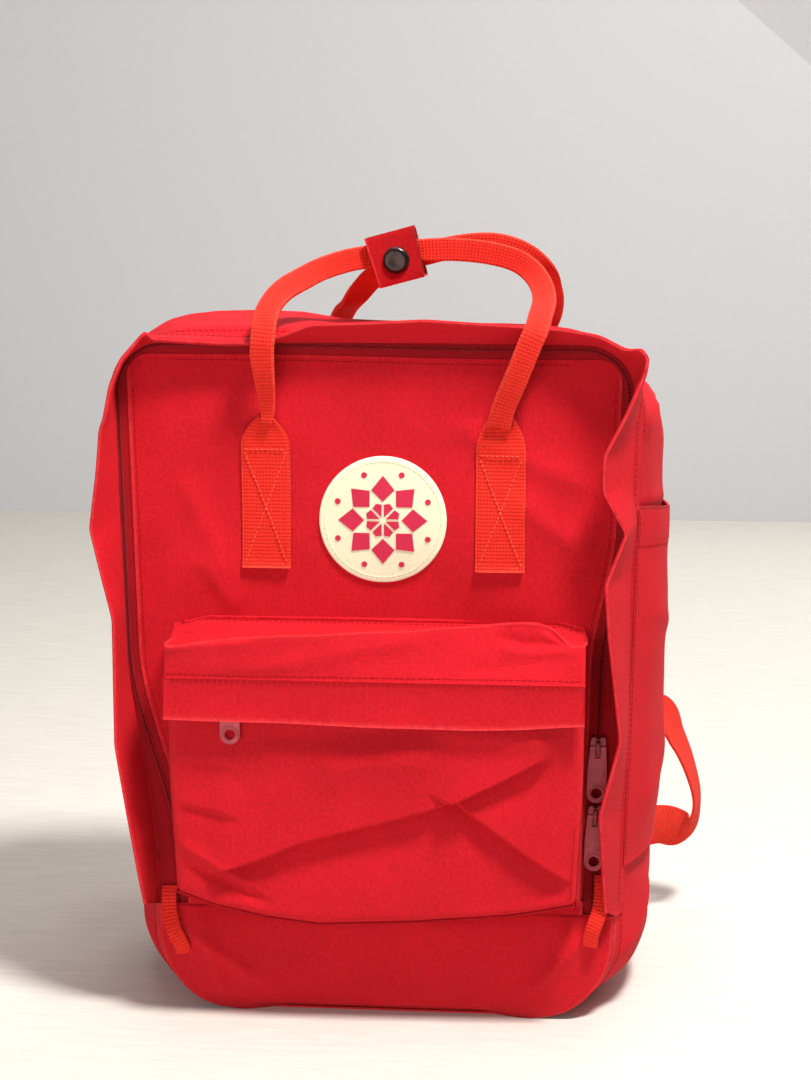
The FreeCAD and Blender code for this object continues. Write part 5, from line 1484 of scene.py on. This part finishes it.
def make_slider(name, body, middle, along, across, post):
    """A slider: two shaped plates, a neck, and a bridge or a post for its pull."""
    front = np.cross(across, along)
    long, wide = 6.4, 4.5
    shape = [(-wide * 0.62, -long), (wide * 0.62, -long), (wide * 0.8, -1.0), (wide, 2.6),
             (wide * 0.86, long - 0.8), (wide * 0.4, long), (0.55, long - 1.6), (-0.55, long - 1.6),
             (-wide * 0.4, long), (-wide * 0.86, long - 0.8), (-wide, 2.6), (-wide * 0.8, -1.0)]
    axes = np.array([across, along, front])
    for label, depth, node in (("face", 2.3, body), ("rear", -1.5, None)):
        piece = plate("%s_%s" % (name, label), [shape], 1.0, middle + front * depth, axes, 0.28)
        place(piece, body, "slider_metal", node)
    steps = np.linspace(0, 1, 7)[:, None]

    def stem(label, path, section, side=along):
        place(tube("%s_%s" % (name, label), path, side, section), body, "slider_metal")

    stem("neck", middle + along * 5.0 + front * (-1.2 + 3.2 * steps), rounded_section(2.2, 0.8, 0.3))
    if post:
        stem("post", middle + front * (2.7 + 2.2 * steps), rounded_section(2.6, 2.6, 1.25))
        scale = np.array([0.75, 0.95, 1.0, 1.0, 0.95, 0.82, 0.5])[:, None, None]
        stem("head", middle + front * (4.5 + 0.75 * steps),
             rounded_section(4.9, 4.9, 2.4, 6)[None] * scale)
    else:
        bend = [(-3.5, 2.7), (-3.3, 4.4), (-2.3, 5.1), (0, 5.25), (2.3, 5.1), (3.3, 4.4),
                (3.5, 2.7)]
        stem("bridge", smooth_path([middle + along * a + front * d for a, d in bend], 36),
             rounded_section(2.2, 0.9, 0.35), across)


def make_zip_metal():
    """Both sliders of the main zip, the one of the pocket, and their pulls."""
    base, top = FRONT_HALF
    slant = math.atan((top - base) / CROWN)
    up = np.array([math.sin(slant), 0, math.cos(slant)])
    right = np.array([math.cos(slant), 0, -math.sin(slant)])
    for name, height in (("lower", 118.0), ("upper", 157.0)):
        middle = np.array([half_width(FRONT_HALF, height) - 12.3, -65.4, height])
        make_slider(name + "_slider_body", name + "_slider", middle, up, right, False)
        hang = np.array([middle[0], -68.65, height])
        make_pull(name + "_pull_plate", hang, right, up, name + "_pull", False)
    right, up = np.array([1.0, 0, 0]), np.array([0, 0, 1.0])
    make_slider("pocket_slider_body", "pocket_slider", np.array([-79.8, -94.6, 194.0]), -right,
                up, True)
    make_pull("pocket_pull_plate", np.array([-79.8, -97.9, 194.0]), right, up, "pocket_pull",
              True)


# ---------------------------------------------------------------- stage

def make_stage():
    """A pale table top, a paler wall behind it, and soft lamps."""
    floor = make_mesh("Floor", [(-4000, -3000, 0), (4000, -3000, 0), (4000, 3000, 0),
                                (-4000, 3000, 0)], [(0, 1, 2, 3)])
    n = Nodes("FloorPale")
    where = n.add("TexCoord").outputs["Object"]
    long = n.add("Mapping", {"Vector": where, "Scale": (6.0, 60.0, 1.0)})
    grain = n.ramp(n.noise(long.outputs[0], 4.0, 6.0, 0.6), 0.3, 0.7)
    floor.data.materials.append(n.finish(n.mix(grain, srgb(214, 208, 198), srgb(226, 221, 212)),
                                         0.7))
    wall = make_mesh("Wall", [(-4000, 1500, -10), (4000, 1500, -10), (4000, 1500, 3000),
                              (-4000, 1500, 3000)], [(0, 1, 2, 3)])
    wall.data.materials.append(Nodes("WallPale").finish(srgb(206, 206, 208), 0.9))
    for name, spot, aim, size, power, tint in (
            ("Key", (0.50, -0.52, 1.65), (0, 0, 0.2), 0.30, 40.0, (1, 0.98, 0.95)),
            ("Top", (-0.1, 0.10, 1.7), (0, 0, 0.2), 0.8, 6.0, (1, 0.99, 0.97)),
            ("Fill", (-0.9, -1.7, 0.7), (0, 0, 0.2), 1.4, 6.0, (0.97, 0.98, 1)),
            ("Low", (-0.25, -1.0, 0.22), (0, 0, 0.06), 0.6, 2.0, (1, 0.98, 0.95)),
            ("Rear", (0.6, 1.2, 0.9), (0, 0, 0.2), 1.2, 6.0, (1, 1, 1))):
        lamp = bpy.data.lights.new(name, "AREA")
        lamp.shape = "DISK"
        lamp.size = size
        lamp.energy = power
        lamp.color = tint
        thing = link(name, lamp)
        thing.location = spot
        thing.rotation_euler = (Vector(aim) - Vector(spot)).to_track_quat("-Z", "Y").to_euler()
    world = bpy.data.worlds.new("World")
    world.use_nodes = True
    background = world.node_tree.nodes["Background"]
    background.inputs["Color"].default_value = (0.9, 0.92, 0.95, 1)
    background.inputs["Strength"].default_value = 0.2
    bpy.context.scene.world = world
    bpy.context.scene.view_settings.view_transform = "Standard"


for make in (make_gusset, make_base, make_front, make_storm_flap, make_main_zip,
             make_pocket_body, make_pocket_cheeks, make_pocket_top, make_pocket_flap,
             make_pocket_zip, make_side_pockets, make_back_panel, make_binding, make_sleeve,
             make_label, make_seat_pad, make_badge, make_badge_print, make_handles, make_patches,
             make_loops, make_left_strap, make_right_strap, make_keeper, make_zip_metal,
             make_stage):
    make()
